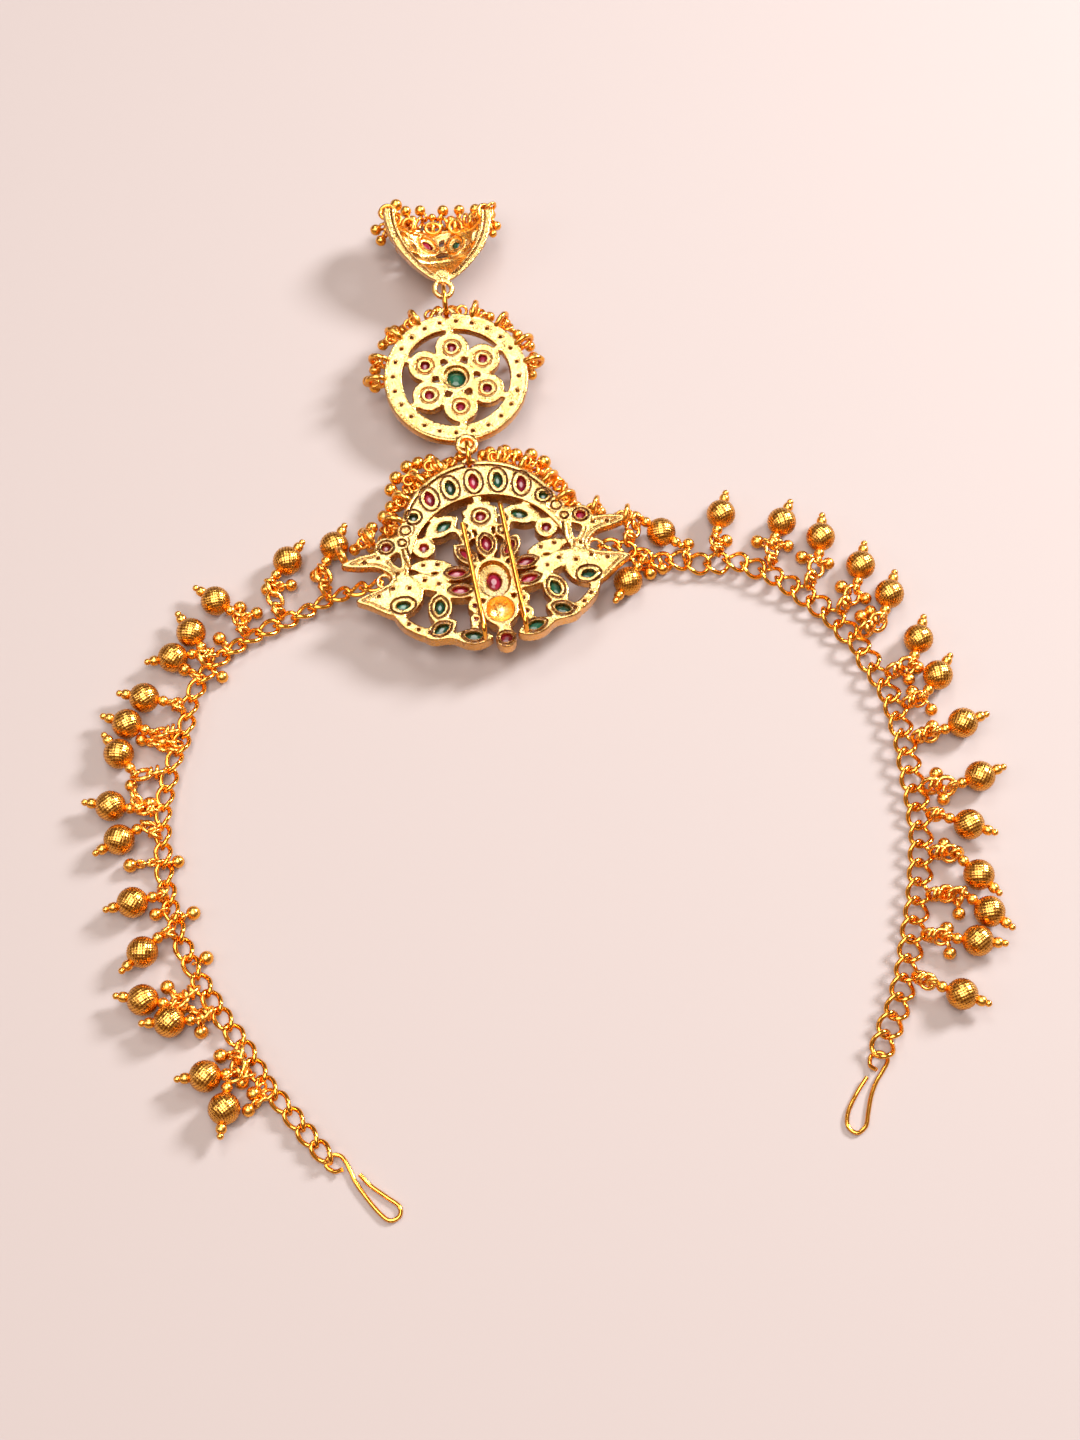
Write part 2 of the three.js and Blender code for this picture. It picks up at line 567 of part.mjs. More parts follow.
// The origin is the middle of the whole piece, on the surface it lies on
const box = new THREE.Box3().setFromObject(table, true);
const middle = box.getCenter(new THREE.Vector3());
table.position.set(-middle.x, -middle.y, -box.min.z);

const hairChain = new THREE.Group();
hairChain.add(table);
export default hairChain;
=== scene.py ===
# %% [markdown]
# # A hair chain, lying face down
# The piece has three castings in a row, a plaque, a disc and a half bell, and a curb chain on each
# side of the plaque that ends in a wire hook. Bead drops hang on the chains and small balls fringe
# the castings. It lies with its back up, so what shows is the castings' backs, their open work and
# the two hair pins. The CAD model holds every place and size, and this lesson makes the surfaces.

# %% The frame and the tools
import json
from math import atan2, ceil, cos, degrees, pi, radians, sin

import bpy
import numpy as np
import openvdb
from mathutils import Matrix, Vector

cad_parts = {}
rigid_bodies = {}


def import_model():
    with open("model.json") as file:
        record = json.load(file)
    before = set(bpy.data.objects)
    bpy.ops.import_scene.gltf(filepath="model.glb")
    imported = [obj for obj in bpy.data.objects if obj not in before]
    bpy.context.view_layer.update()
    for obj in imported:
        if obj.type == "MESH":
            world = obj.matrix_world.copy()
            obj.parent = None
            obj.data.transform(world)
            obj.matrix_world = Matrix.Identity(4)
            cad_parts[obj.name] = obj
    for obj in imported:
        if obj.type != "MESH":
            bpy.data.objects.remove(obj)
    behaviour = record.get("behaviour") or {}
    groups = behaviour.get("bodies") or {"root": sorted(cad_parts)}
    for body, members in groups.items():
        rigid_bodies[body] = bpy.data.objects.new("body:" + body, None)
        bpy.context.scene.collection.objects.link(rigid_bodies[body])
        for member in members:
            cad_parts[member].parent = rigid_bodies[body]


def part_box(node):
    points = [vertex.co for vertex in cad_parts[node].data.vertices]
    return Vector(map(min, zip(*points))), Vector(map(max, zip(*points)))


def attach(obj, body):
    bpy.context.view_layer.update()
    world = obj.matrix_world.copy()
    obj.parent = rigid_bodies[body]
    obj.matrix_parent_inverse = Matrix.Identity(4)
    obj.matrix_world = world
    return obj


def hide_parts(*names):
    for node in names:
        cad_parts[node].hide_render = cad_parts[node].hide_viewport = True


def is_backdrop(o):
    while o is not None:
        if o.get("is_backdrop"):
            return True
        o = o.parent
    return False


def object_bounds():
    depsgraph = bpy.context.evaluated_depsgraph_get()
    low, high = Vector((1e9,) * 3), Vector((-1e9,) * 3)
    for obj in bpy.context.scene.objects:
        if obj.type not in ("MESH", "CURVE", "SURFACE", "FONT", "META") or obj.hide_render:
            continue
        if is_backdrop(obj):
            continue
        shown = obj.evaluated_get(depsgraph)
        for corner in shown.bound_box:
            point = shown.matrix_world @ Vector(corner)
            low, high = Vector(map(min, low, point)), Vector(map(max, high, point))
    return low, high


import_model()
bpy.context.view_layer.update()
CAD_BOX = [list(corner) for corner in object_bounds()]
MM = 0.001  # tables below are in millimetres, and Blender works in metres
print("CAD box in mm:", [[round(v / MM, 1) for v in corner] for corner in CAD_BOX])

# %% [markdown]
# ## Where the three castings lie
# Each casting has a frame of its own, turned and tilted as it lies. All three are given on one
# layout, and the CAD model shifted that layout to put the origin in the middle. The disc's stone
# is a solid of its own, so its place in the frame tells how far the layout was shifted.

# %% Places


def seat(x, y, z, turn, roll=0, tilt=0):
    """A casting's own frame on the layout, in millimetres and degrees."""
    turned = Matrix.Rotation(radians(turn), 4, "Z") @ Matrix.Rotation(radians(roll), 4, "Y")
    return Matrix.Translation((x, y, z)) @ turned @ Matrix.Rotation(radians(tilt), 4, "X")


PLAQUE_SEAT = seat(-10.96, 35.71, 0, 11.2)
DISC_SEAT = seat(-17.85, 76.56, 8.6, 8.5, 0, 5)
BELL_SEAT = seat(-21.1, 101, 9.6, 6, 8, 10)
DISC_STONE_MIDDLE = Vector((0, 0, -2.4))

low, high = (Vector(corner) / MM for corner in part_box("disc_stone"))
SHIFT = (low + high) / 2 - DISC_SEAT @ DISC_STONE_MIDDLE
LAYOUT = Matrix.Scale(MM, 4) @ Matrix.Translation(SHIFT)  # from layout millimetres to the frame
print("layout shifted by", [round(v, 3) for v in SHIFT])

# %% [markdown]
# ## Camera
# The camera comes first, so that everything after it can be judged through it. It looks down
# steeply, 65 degrees below the horizon, at the middle of the layout.

# %% Camera
CAMERA_PITCH = radians(65)
CAMERA_FAR = 434.4  # millimetres from the layout's middle
LENS, FILM = 53.975, 36

camera_data = bpy.data.cameras.new("camera")
camera_data.sensor_fit = "VERTICAL"
camera_data.sensor_height = FILM
camera_data.lens = LENS
camera_data.clip_start, camera_data.clip_end = 0.01, 20
camera = bpy.data.objects.new("camera", camera_data)
bpy.context.collection.objects.link(camera)
camera.location = LAYOUT @ Vector((0, -CAMERA_FAR * cos(CAMERA_PITCH), CAMERA_FAR * sin(CAMERA_PITCH)))
camera.rotation_euler = (pi / 2 - CAMERA_PITCH, 0, 0)
bpy.context.scene.camera = camera
print("camera at", [round(v, 3) for v in camera.location])

# %% [markdown]
# ## Node building
# Materials and Geometry Nodes trees are both node trees. One small helper adds a node, sets its
# properties and links or fills its inputs, so that a tree reads like a recipe further down. The
# others are short names for the nodes that come up again and again.

# %% Helpers for nodes


def add(tree, kind, inputs=None, **settings):
    """Adds a node; inputs maps a socket's name or number to a value or to another node's socket."""
    node = tree.nodes.new(kind)
    for name, value in settings.items():
        setattr(node, name, value)
    for key, value in (inputs or {}).items():
        if isinstance(value, bpy.types.NodeSocket):
            tree.links.new(value, node.inputs[key])
        else:
            node.inputs[key].default_value = value
    return node


def math(tree, operation, a, b=0.0, c=0.0, clamp=False):
    return add(tree, "ShaderNodeMath", {0: a, 1: b, 2: c}, operation=operation, use_clamp=clamp).outputs[0]


def ranged(tree, value, low, high, at_low=0.0, at_high=1.0, **settings):
    """A value stretched from one range to another."""
    limits = {"Value": value, "From Min": low, "From Max": high, "To Min": at_low, "To Max": at_high}
    return add(tree, "ShaderNodeMapRange", limits, **settings).outputs[0]


def tinted(tree, share, low, high):
    """A colour between two others."""
    return add(tree, "ShaderNodeMix", {0: share, 6: low, 7: high}, data_type="RGBA").outputs[2]


def noise(tree, place, scale, detail):
    return add(tree, "ShaderNodeTexNoise", {"Vector": place, "Scale": scale, "Detail": detail}).outputs["Fac"]


def own_place(tree):
    """Object coordinates."""
    return add(tree, "ShaderNodeTexCoord").outputs["Object"]


def live_socket(sockets, name):
    """The one socket of a name that is in use; a node has one of each kind of value."""
    return next(socket for socket in sockets if socket.enabled and socket.name == name)


def linked(name, data):
    """A new object in the scene."""
    new = bpy.data.objects.new(name, data)
    bpy.context.collection.objects.link(new)
    return new


print("helpers for nodes and objects are ready")

# %% [markdown]
# ## Finishes
# The metal is one gold plating, but it shows in three ways. A casting's back is grainy from the
# mould, and its flat places that face up get a painted highlight, paler than its walls. Drawn wire
# is smooth. A knurled bead gets painted shade between its tips. Grain, pits and the tone of the
# plating, with its painted highlight and painted shade, are effects that several of these share, so
# each is a node group with its own values in each material.

# %% Node group: casting grain


def shader_group(name, inputs, outputs):
    group = bpy.data.node_groups.new(name, "ShaderNodeTree")
    for label, value in inputs.items():
        kind = "NodeSocketColor" if isinstance(value, tuple) else "NodeSocketFloat"
        group.interface.new_socket(label, in_out="INPUT", socket_type=kind).default_value = value
    for label, kind in outputs.items():
        group.interface.new_socket(label, in_out="OUTPUT", socket_type=kind)
    return group, group.nodes.new("NodeGroupInput").outputs, group.nodes.new("NodeGroupOutput").inputs


def grain_group():
    """Fine pits and soft waves, as a cast and plated surface has."""
    inputs = {"Pit Size": 0.5, "Wave Size": 2.5, "Wave Share": 0.5}
    group, given, out = shader_group("casting_grain", inputs, {"Height": "NodeSocketFloat"})
    place = own_place(group)
    pits = noise(group, place, math(group, "DIVIDE", 1 / MM, given["Pit Size"]), 3.0)
    waves = noise(group, place, math(group, "DIVIDE", 1 / MM, given["Wave Size"]), 1.0)
    height = add(group, "ShaderNodeMix", {0: given["Wave Share"], 2: pits, 3: waves}).outputs[0]
    group.links.new(height, out["Height"])
    return group


GRAIN = grain_group()
print("group", GRAIN.name)

# %% [markdown]
# ### Why the gold is not one colour
# Faces that look up and stand out get a painted highlight, paler than the rest. Walls keep a
# deeper gold, and recesses get painted shade, darker still. The group mixes three tones by where
# the surface faces and how far it stands proud, and breaks the mix up with patches and specks.

# %% Node group: tone of the plating, with painted highlight and painted shade
# The painted highlight grows as a normal turns up from FACES_ASIDE to FACES_UP, and painted shade fills
# recesses as pointiness falls from PROUD to HOLLOW.
FACES_ASIDE, FACES_UP = 0.35, 0.95  # the upward part of a normal
HOLLOW, PROUD = 0.43, 0.492  # pointiness


def tone_and_painted_light_group():
    """Painted highlight where it faces up and stands out, deeper on walls, painted shade in recesses, a
    little uneven.
    """
    inputs = {
        # the first colour is the painted highlight on faces that look up, and Recess is painted shade
        "Painted Highlight": (1.0, 0.8, 0.45, 1.0),
        "Wall": (0.9, 0.45, 0.1, 1.0),
        "Recess": (0.45, 0.2, 0.04, 1.0),
        "Patch Size": 6.0,
        "Unevenness": 0.15,
        "Speck Size": 0.5,
        "Specks": 0.3,
    }
    group, given, out = shader_group("plating_tone_and_painted_light", inputs, {"Color": "NodeSocketColor"})
    geometry = add(group, "ShaderNodeNewGeometry").outputs
    up = add(group, "ShaderNodeSeparateXYZ", {0: geometry["Normal"]}).outputs["Z"]
    # facing paints the highlight on faces that look up, and proud keeps painted shade off what stands proud
    facing = ranged(group, up, FACES_ASIDE, FACES_UP)
    proud = ranged(group, geometry["Pointiness"], HOLLOW, PROUD)
    place = own_place(group)
    patch = noise(group, place, math(group, "DIVIDE", 1 / MM, given["Patch Size"]), 2.0)
    speck = noise(group, place, math(group, "DIVIDE", 1 / MM, given["Speck Size"]), 3.0)
    uneven = math(group, "MULTIPLY", math(group, "SUBTRACT", patch, 0.5), given["Unevenness"])
    specked = math(group, "MULTIPLY", math(group, "SUBTRACT", speck, 0.45), given["Specks"])
    highlight_and_patches = math(group, "ADD", facing, math(group, "SUBTRACT", uneven, specked), clamp=True)
    lit = tinted(group, highlight_and_patches, given["Wall"], given["Painted Highlight"])
    group.links.new(tinted(group, proud, given["Recess"], lit), out["Color"])
    return group


TONE_AND_PAINTED_LIGHT = tone_and_painted_light_group()
print("group", TONE_AND_PAINTED_LIGHT.name)

# %% [markdown]
# ### The gold materials
# One function makes all of them from the two groups. What differs is the colours of the painted
# highlight, the walls, the painted shade in recesses and the painted shade in pits, how strong the
# grain is and how rough the metal: these are its arguments. A thin clear lacquer lies over the
# plating, thicker on the castings than on the wire and the beads.

# %% Gold
GRAIN_DEPTH = 0.28 * MM
# The attribute "pit" paints shade into pits and grooves: from SHALLOW on, the colour darkens towards the last
# tone.
SHALLOW, DEEP = 0.2, 0.75  # of the attribute "pit", from the surface to a sunk place


def new_material(name):
    material = bpy.data.materials.new(name)
    material.use_nodes = True
    return material, material.node_tree, material.node_tree.nodes["Principled BSDF"]


def gold(name, tones, rough, grain, pit, uneven=0.3, specks=0.3, lacquer=0.3):
    """Plated gold; tones are its painted highlight, its wall colour, its painted recess shade and its painted
    pit shade.
    """
    # the painted highlight, the walls' gold, the painted shade in recesses and the painted shade in pits
    painted_highlight, wall, recess, sunk = ((*tone, 1) for tone in tones)
    material, tree, shader = new_material(name)
    tone = add(
        tree, "ShaderNodeGroup",
        {"Painted Highlight": painted_highlight, "Wall": wall, "Recess": recess, "Unevenness": uneven, "Specks": specks},
        node_tree=TONE_AND_PAINTED_LIGHT,
    ).outputs["Color"]
    height = add(
        tree, "ShaderNodeGroup", {"Pit Size": pit, "Wave Size": 2.5, "Wave Share": 0.5}, node_tree=GRAIN,
    ).outputs["Height"]
    bump = add(tree, "ShaderNodeBump", {"Height": height, "Strength": grain, "Distance": GRAIN_DEPTH})
    depth = add(tree, "ShaderNodeAttribute", attribute_name="pit").outputs["Fac"]
    smooth, dull = rough
    sockets = {
        "Base Color": tinted(tree, ranged(tree, depth, SHALLOW, DEEP), tone, sunk),
        "Roughness": ranged(tree, height, 0.3, 0.7, dull, smooth),
        "Normal": bump.outputs["Normal"],
    }
    for label, socket in sockets.items():
        tree.links.new(socket, shader.inputs[label])
    constants = {"Metallic": 1, "Coat Weight": lacquer, "Coat Roughness": 0.06, "Coat IOR": 1.55}
    for label, value in constants.items():
        shader.inputs[label].default_value = value
    return material


# Tones: painted highlight on faces that look up, walls, painted shade in recesses, painted shade in pits.
CAST_GOLD = gold(
    "cast_gold_plate",
    [(0.97, 0.75, 0.29), (0.9, 0.4, 0.045), (0.2, 0.06, 0.005), (0.17, 0.06, 0.008)],
    (0.12, 0.4), 1.0, pit=0.45, uneven=1.0, specks=2.0, lacquer=0.6,
)
WIRE_GOLD = gold(
    "drawn_gold_wire",
    [(0.98, 0.5, 0.07), (0.92, 0.37, 0.025), (0.6, 0.2, 0.015), (0.5, 0.14, 0.012)],
    (0.1, 0.2), 0.12, pit=1.2,
)
BEAD_GOLD = gold(
    "knurled_gold",
    [(1, 0.57, 0.12), (0.95, 0.4, 0.03), (0.5, 0.16, 0.01), (0.28, 0.065, 0.004)],
    (0.2, 0.34), 0.12, pit=0.8,
)
print("gold finishes:", CAST_GOLD.name, WIRE_GOLD.name, BEAD_GOLD.name)

# %% [markdown]
# ### The glass of the stones
# The stones are coloured glass, foiled in front and open at the back, so they look deep and a
# little cloudy from behind. A clear coat gives the polish, and slow noise clouds the colour.

# %% Stones
CLOUD_SIZE = 3.0 * MM


def glass(name, deep, pale):
    material, tree, shader = new_material(name)
    clouds = ranged(tree, noise(tree, own_place(tree), 1 / CLOUD_SIZE, 2.0), 0.35, 0.7)
    tree.links.new(tinted(tree, clouds, (*deep, 1), (*pale, 1)), shader.inputs["Base Color"])
    constants = {"Roughness": 0.08, "IOR": 1.5, "Coat Weight": 0.3, "Coat Roughness": 0.03}
    for label, value in constants.items():
        shader.inputs[label].default_value = value
    return material


RUBY = glass("ruby_glass", (0.12, 0.002, 0.012), (0.32, 0.012, 0.05))
EMERALD = glass("emerald_glass", (0.001, 0.03, 0.018), (0.008, 0.11, 0.06))
print("glass:", RUBY.name, EMERALD.name)

# %% [markdown]
# ## Carving the castings
# The real castings are lost-wax work: soft edges, fillets where straps meet, sunk settings, and no
# sharp corner anywhere. Extruded outlines with bevels look like sheet metal, and booleans between
# a hundred of them are brittle. So each casting is carved as the wax was, out of a block: a grid of
# numbers that say how far each point is from the surface. Joining is a minimum, cutting is a
# maximum, and a soft minimum gives the fillets. First come the small tools that all of them use.

# %% Carving tools


def wave_noise(shape, reach, seed):
    """Smooth random waves between about -1 and 1; reach is their size in grid steps."""
    waves = np.random.default_rng(seed).normal(size=shape).astype(np.float32)
    for axis in (0, 1):
        for _ in range(3):
            waves = sum(np.roll(waves, shift, axis) for shift in range(-reach, reach + 1))
    return waves / np.abs(waves).max()


def ridge(distance, at, height, width):
    """A rounded ridge that follows a line at some distance from an edge."""
    return height * np.exp(-(((distance - at) / width) ** 2))


def soft_min(a, b, soft):
    if not soft:
        return np.minimum(a, b)
    near = np.maximum(soft - np.abs(a - b), 0) / soft
    return np.minimum(a, b) - near * near * soft / 4


def merged(plans, soft=0.0):
    """One plan out of several, with fillets of that softness where they meet."""
    whole = plans[0]
    for plan in plans[1:]:
        whole = soft_min(whole, plan, soft)
    return whole


def smooth_line(points, closed=False, steps=4):
    """A Catmull-Rom line through points of any dimension."""
    p = [np.array(point, float) for point in points]
    p = [p[-1], *p, p[0], p[1]] if closed else [2 * p[0] - p[1], *p, 2 * p[-1] - p[-2]]
    line = []
    for a, b, c, d in zip(p, p[1:], p[2:], p[3:]):
        squared, cubed = 2 * a - 5 * b + 4 * c - d, 3 * b - a - 3 * c + d
        for t in np.arange(steps) / steps:
            line.append(0.5 * (2 * b + (c - a) * t + squared * t * t + cubed * t**3))
    return [tuple(q) for q in line] + ([] if closed else [tuple(p[-2])])


def turned_by(u, v, turn):
    c, s = cos(radians(turn)), sin(radians(turn))
    return u * c + v * s, v * c - u * s


def oval_edge(u, v, a, b):
    near = np.hypot(u / a, v / b)
    return near * (near - 1) / (np.hypot(u / a**2, v / b**2) + 1e-6)


def leaf_edge(u, v, a, b):
    """A leaf with a point at each end: half-length a, half-width b."""
    r = (a * a + b * b) / (2 * b)
    return np.hypot(u, np.abs(v) + r - b) - r


print("carving tools are ready")

# %% [markdown]
# ### Plans
# A plan is a flat outline on the block's upper face, as a goldsmith scribes it before cutting. It
# is a number at each grid point: how far that point is outside the outline.

# %% Plans
FAR = 99  # further than anything on a block
OUTSIDE = 9.0  # what the grid of wax says where there is none


class Plans:
    """A grid to draw outlines on, in millimetres, negative inside."""

    def __init__(self, low, high, step):
        self.low, self.step = low, step
        self.axes = [np.arange(a, b + step, step, dtype=np.float32) for a, b in zip(low, high)]
        self.x, self.y = np.meshgrid(self.axes[0], self.axes[1], indexing="ij")

    def circle(self, x, y, r):
        return np.hypot(self.x - x, self.y - y) - r

    def oval(self, x, y, a, b, turn=0):
        return oval_edge(*turned_by(self.x - x, self.y - y, turn), a, b)

    def leaf(self, x, y, a, b, turn):
        return leaf_edge(*turned_by(self.x - x, self.y - y, turn), a, b)

    def setting(self, x, y, long, wide, turn):
        """A stone's outline: a leaf if it is slender, an oval if it is round."""
        if long > 1.6 * wide:
            return soft_min(self.leaf(x, y, long, wide, turn), self.oval(x, y, long * 0.8, wide, turn), 0.3)
        return self.oval(x, y, long, wide, turn)

    def off_line(self, ends):
        """The distance from a line, given as the two ends of each of its pieces."""
        far = np.full(self.x.shape, FAR, np.float32)
        for (ax, ay), (bx, by) in ends:
            dx, dy = bx - ax, by - ay
            t = np.clip(((self.x - ax) * dx + (self.y - ay) * dy) / (dx * dx + dy * dy), 0, 1)
            far = np.minimum(far, np.hypot(self.x - ax - t * dx, self.y - ay - t * dy))
        return far

    def strap(self, width, line):
        """A band of one width along a smooth line of points."""
        points = smooth_line(line)
        return self.off_line(list(zip(points, points[1:]))) - width / 2

    def outline(self, corners):
        """A closed outline with smooth sides through its corners."""
        points = smooth_line(corners, closed=True)
        ends = list(zip(points, points[1:] + points[:1]))
        far = self.off_line(ends)
        inside = np.zeros(self.x.shape, bool)
        for (ax, ay), (bx, by) in ends:
            if by - ay:
                crosses = (ay > self.y) != (by > self.y)
                inside ^= crosses & (self.x < (bx - ax) * (self.y - ay) / (by - ay) + ax)
        return np.where(inside, -far, far)


print("plans: circles, ovals, leaves, straps and free outlines")

# %% [markdown]
# ### The block of wax
# A form is a plan with heights, or a shape turned on an axis. Forms are joined to the wax, and pits
# are cut from it. A pit also keeps how much painted shade it gets, which makes grooves and drilled
# holes read dark.

# %% A block of wax


class Block(Plans):
    """Plans with the wax under them, all in millimetres, negative inside."""

    def __init__(self, low, high, step):
        super().__init__(low, high, step)
        self.z = self.axes[2][None, None, :]
        self.wax = np.full([len(axis) for axis in self.axes], OUTSIDE, np.float32)
        self.painted_shade = np.zeros(self.x.shape, np.float32)
        self.shaded_above = np.full(self.x.shape, FAR, np.float32)

    def slab(self, plan, bottom, top, soft):
        """A plate of a plan's outline between two heights, with softened edges."""
        bottom, top = np.asarray(bottom), np.asarray(top)
        middle, half = ((top + bottom) / 2)[..., None], ((top - bottom) / 2)[..., None] - soft
        side, rise = plan[:, :, None] + soft, np.abs(self.z - middle) - half
        out = np.hypot(np.maximum(side, 0), np.maximum(rise, 0))
        return (out + np.minimum(np.maximum(side, rise), 0) - soft).astype(np.float32)

    def turned(self, x, y, rows):
        """A turned form on an upright axis from (radius, height) rows."""
        radii, heights = zip(*rows)
        side = np.hypot(self.x - x, self.y - y)[:, :, None] - np.interp(self.z, heights, radii)
        ends = np.maximum(heights[0] - self.z, self.z - heights[-1])
        return np.maximum(side, ends).astype(np.float32)

    def torus(self, x, y, z, ring, wire):
        far = np.hypot(self.x - x, self.y - y)[:, :, None] - ring
        return (np.hypot(far, self.z - z) - wire).astype(np.float32)

    def join(self, form, soft=0.0):
        self.wax = soft_min(self.wax, form, soft)

    def cut(self, form):
        self.wax = np.maximum(self.wax, -form)

    def pit(self, plan, bottom, lean=0.0, painted_shade=0.0):
        """Cuts a plan's outline down to a height; lean makes the walls slope in as they go down.

        The last argument is how much painted shade the pit gets, from 0 to 1.
        """
        rise = self.z - np.asarray(bottom)[..., None]
        self.cut(np.maximum(plan[:, :, None] - lean * rise, -rise))
        here = painted_shade * np.clip(0.7 - plan / (2 * self.step), 0, 1)
        self.shaded_above = np.where(here > self.painted_shade, bottom, self.shaded_above)
        self.painted_shade = np.maximum(self.painted_shade, here)

    def painted_shade_at(self, points):
        """How much painted shade each of an array of points gets."""
        steps = [np.rint((points[:, axis] - self.low[axis]) / self.step).astype(int) for axis in (0, 1)]
        column, row = (np.clip(step, 0, size - 1) for step, size in zip(steps, self.x.shape))
        return self.painted_shade[column, row] * (points[:, 2] > self.shaded_above[column, row] - 0.2)


print("wax: slabs, turned forms and rings; joins, cuts and pits")

# %% [markdown]
# ### From wax to metal
# The block becomes a mesh where its numbers cross zero. OpenVDB, which is part of Blender, does
# that, with fewer and larger faces where the surface is flat. The mesh is then moved from the
# casting's own frame to where the casting lies.

# %% Casting a block


def plain_mesh(name, points, faces, edges=()):
    mesh = bpy.data.meshes.new(name)
    mesh.from_pydata(points, edges, faces)
    return mesh


def triangles(mesh):
    return sum(len(polygon.vertices) - 2 for polygon in mesh.polygons)


def put(name, mesh, material, slot, nodes=()):
    """Links a finished mesh as a piece of the object."""
    mesh.materials.clear()
    mesh.materials.append(material)
    mesh.shade_smooth()
    piece = linked(name, mesh)
    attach(piece, "root")
    if nodes:
        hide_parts(*nodes)


def evaluated(carrier):
    """What an object's modifiers make of it, as a plain mesh; the object goes."""
    graph = bpy.context.evaluated_depsgraph_get()
    mesh = bpy.data.meshes.new_from_object(carrier.evaluated_get(graph), depsgraph=graph)
    bpy.data.objects.remove(carrier)
    return mesh


def cast(name, block, place, adaptivity, most):
    """The block's surface where the casting lies, with no more triangles than most."""
    grid = openvdb.FloatGrid(OUTSIDE)
    grid.copyFromArray(np.ascontiguousarray(block.wax))
    grid.transform = openvdb.createLinearTransform(block.step)
    points, tris, quads = grid.convertToPolygons(0.0, adaptivity)
    points = points + np.array(block.low)
    mesh = plain_mesh(name, points.tolist(), [row[::-1] for row in tris.tolist() + quads.tolist()])
    before = triangles(mesh)
    if before > most:
        carrier = linked(name, mesh)
        carrier.modifiers.new("fewer faces", "DECIMATE").ratio = most / before
        mesh = evaluated(carrier)
        print(name, "thinned from", before, "triangles")
    places = np.empty(len(mesh.vertices) * 3, np.float32)
    mesh.vertices.foreach_get("co", places)
    # The attribute "pit" holds how much painted shade each point gets in grooves and pits.
    painted_shade = mesh.attributes.new("pit", "FLOAT", "POINT")
    painted_shade.data.foreach_set("value", block.painted_shade_at(places.reshape(-1, 3)).astype(np.float32))
    mesh.transform(LAYOUT @ place)
    print(name, "cast with", triangles(mesh), "triangles")
    return mesh


print("ready to cast")

# %% [markdown]
# ## The plaque
# Two birds hold an arch over a flower with leaves and petals. From the back it is a flat plate,
# 3.2 mm deep, pierced between the motifs, with each stone's setting outlined by a groove and open
# at the back. The middle boss and the dome under it reach down to the table. The right half is
# listed and mirrored, as the goldsmith's pattern was.

# %% The plaque's patterns
STEP = 0.16  # the wax grid
PLAQUE_MOST, OTHER_MOST = 185000, 95000  # triangles in a casting
ADAPTIVITY = 0.02  # 0 keeps every face, and a little lets flat places have larger ones
BACK, BOTTOM, THIN_BOTTOM = 8.8, 5.6, 6.4
BAND_TOP = 9.2
LUG_R, LUG_HOLE, PLAQUE_LUG = 2.1, 1.0, 19
CHAIN_EYE, EYE_R, EYE_WIRE = (21.9, -4, 7.5), 1.4, 0.4
BAND_OUTER, BAND_INNER, BAND_FOOT = (0, 2.5, 17.2), (0, -5, 16.4), -3.2
FILLET = 0.7  # how softly neighbouring motifs run together
FLOWER = (0, 6.7)
BOSS, BOSS_FRONT = (0, -8.2), [(0.3, 0.05), (2.2, 0.1), (3.6, 1.4), (4, 3), (4, 6.2)]
DOME, DOME_FRONT = (0, -15.3), [(0.3, 1.6), (1.8, 2.2), (3, 3.6), (3.4, 5.2), (3.4, 6.2)]
LEAVES = [
    # x, y, half-length, half-width, turn
    (8.4, 5.75, 4.1, 2.3, -24), (4.6, -1.6, 3.5, 1.9, 52), (12.3, -2.8, 4.6, 1.6, 6),
    (12.8, -6.6, 5.2, 1.9, 24), (7.2, -5.5, 4.1, 1.7, 6), (7.3, -9.6, 4.3, 1.8, 10),
    (11.9, -12.6, 3.9, 2.5, 105), (12.4, -17.5, 3.6, 2.1, -22), (6.4, -20.4, 4, 1.8, 12),
]
# x, y, radius; the last round is a bird's body
ROUNDS = [(12.75, 1.6, 2.4), (3.75, 2.75, 1.6), (20.3, 3.1, 2.4), (4.9, -13.6, 1.5), (5.2, -16.6, 1.3)]
BIRD_BODY = (17.9, -8.2, 3.4)
STRAPS = [
    # width, line
    (1.5, [(8.6, 7), (10.3, 8.4), (11, 9.4)]),
    (1.3, [(3.8, 2.6), (4.2, 0.8), (4.6, -0.8)]),
    (1.2, [(4, 3), (5.4, 4.2), (6.8, 5.4)]),
    (2, [(20.6, -11.8), (19.2, -14.8), (16.6, -17.1), (14.2, -18.2)]),
    (1.5, [(14.5, -18.5), (11.5, -19.1), (9.4, -19.7), (8, -20.4)]),
    (1.4, [(11.6, -15.3), (12.8, -16.6), (13.4, -17.6)]),
    (1.3, [(5.2, -12.6), (4.2, -11.8), (3, -11.5)]),
    (1.3, [(5.4, -16.6), (5.8, -18.2), (6.4, -19.6)]),
]
BIRD = [
    (16.4, 4.6), (18.4, 5.4), (22.8, 2.6), (26, 2.2), (30, 0.9), (27, -0.4), (23.3, -1.1),
    (21, -2.7), (20.4, -4.2), (22.2, -5.7), (26, -6.8), (28.3, -8), (25.5, -9.9), (21.7, -12.6),
    (18.4, -12.9), (15.6, -11.2), (14.9, -8.6), (15.4, -6), (16.6, -4.4), (16.5, -2), (16.3, 1),
]
BIRD_HOLE = [(18, 1.4), (18.2, -2), (19.9, 0.5)]
print("pattern of", len(LEAVES), "leaves,", len(ROUNDS), "rounds and", len(STRAPS), "straps a side")

# %% [markdown]
# ### Settings, rings and pits
# Every stone sits in a hole that goes right through, with a groove scribed round it. Plain rings
# and drilled pits fill the places between.

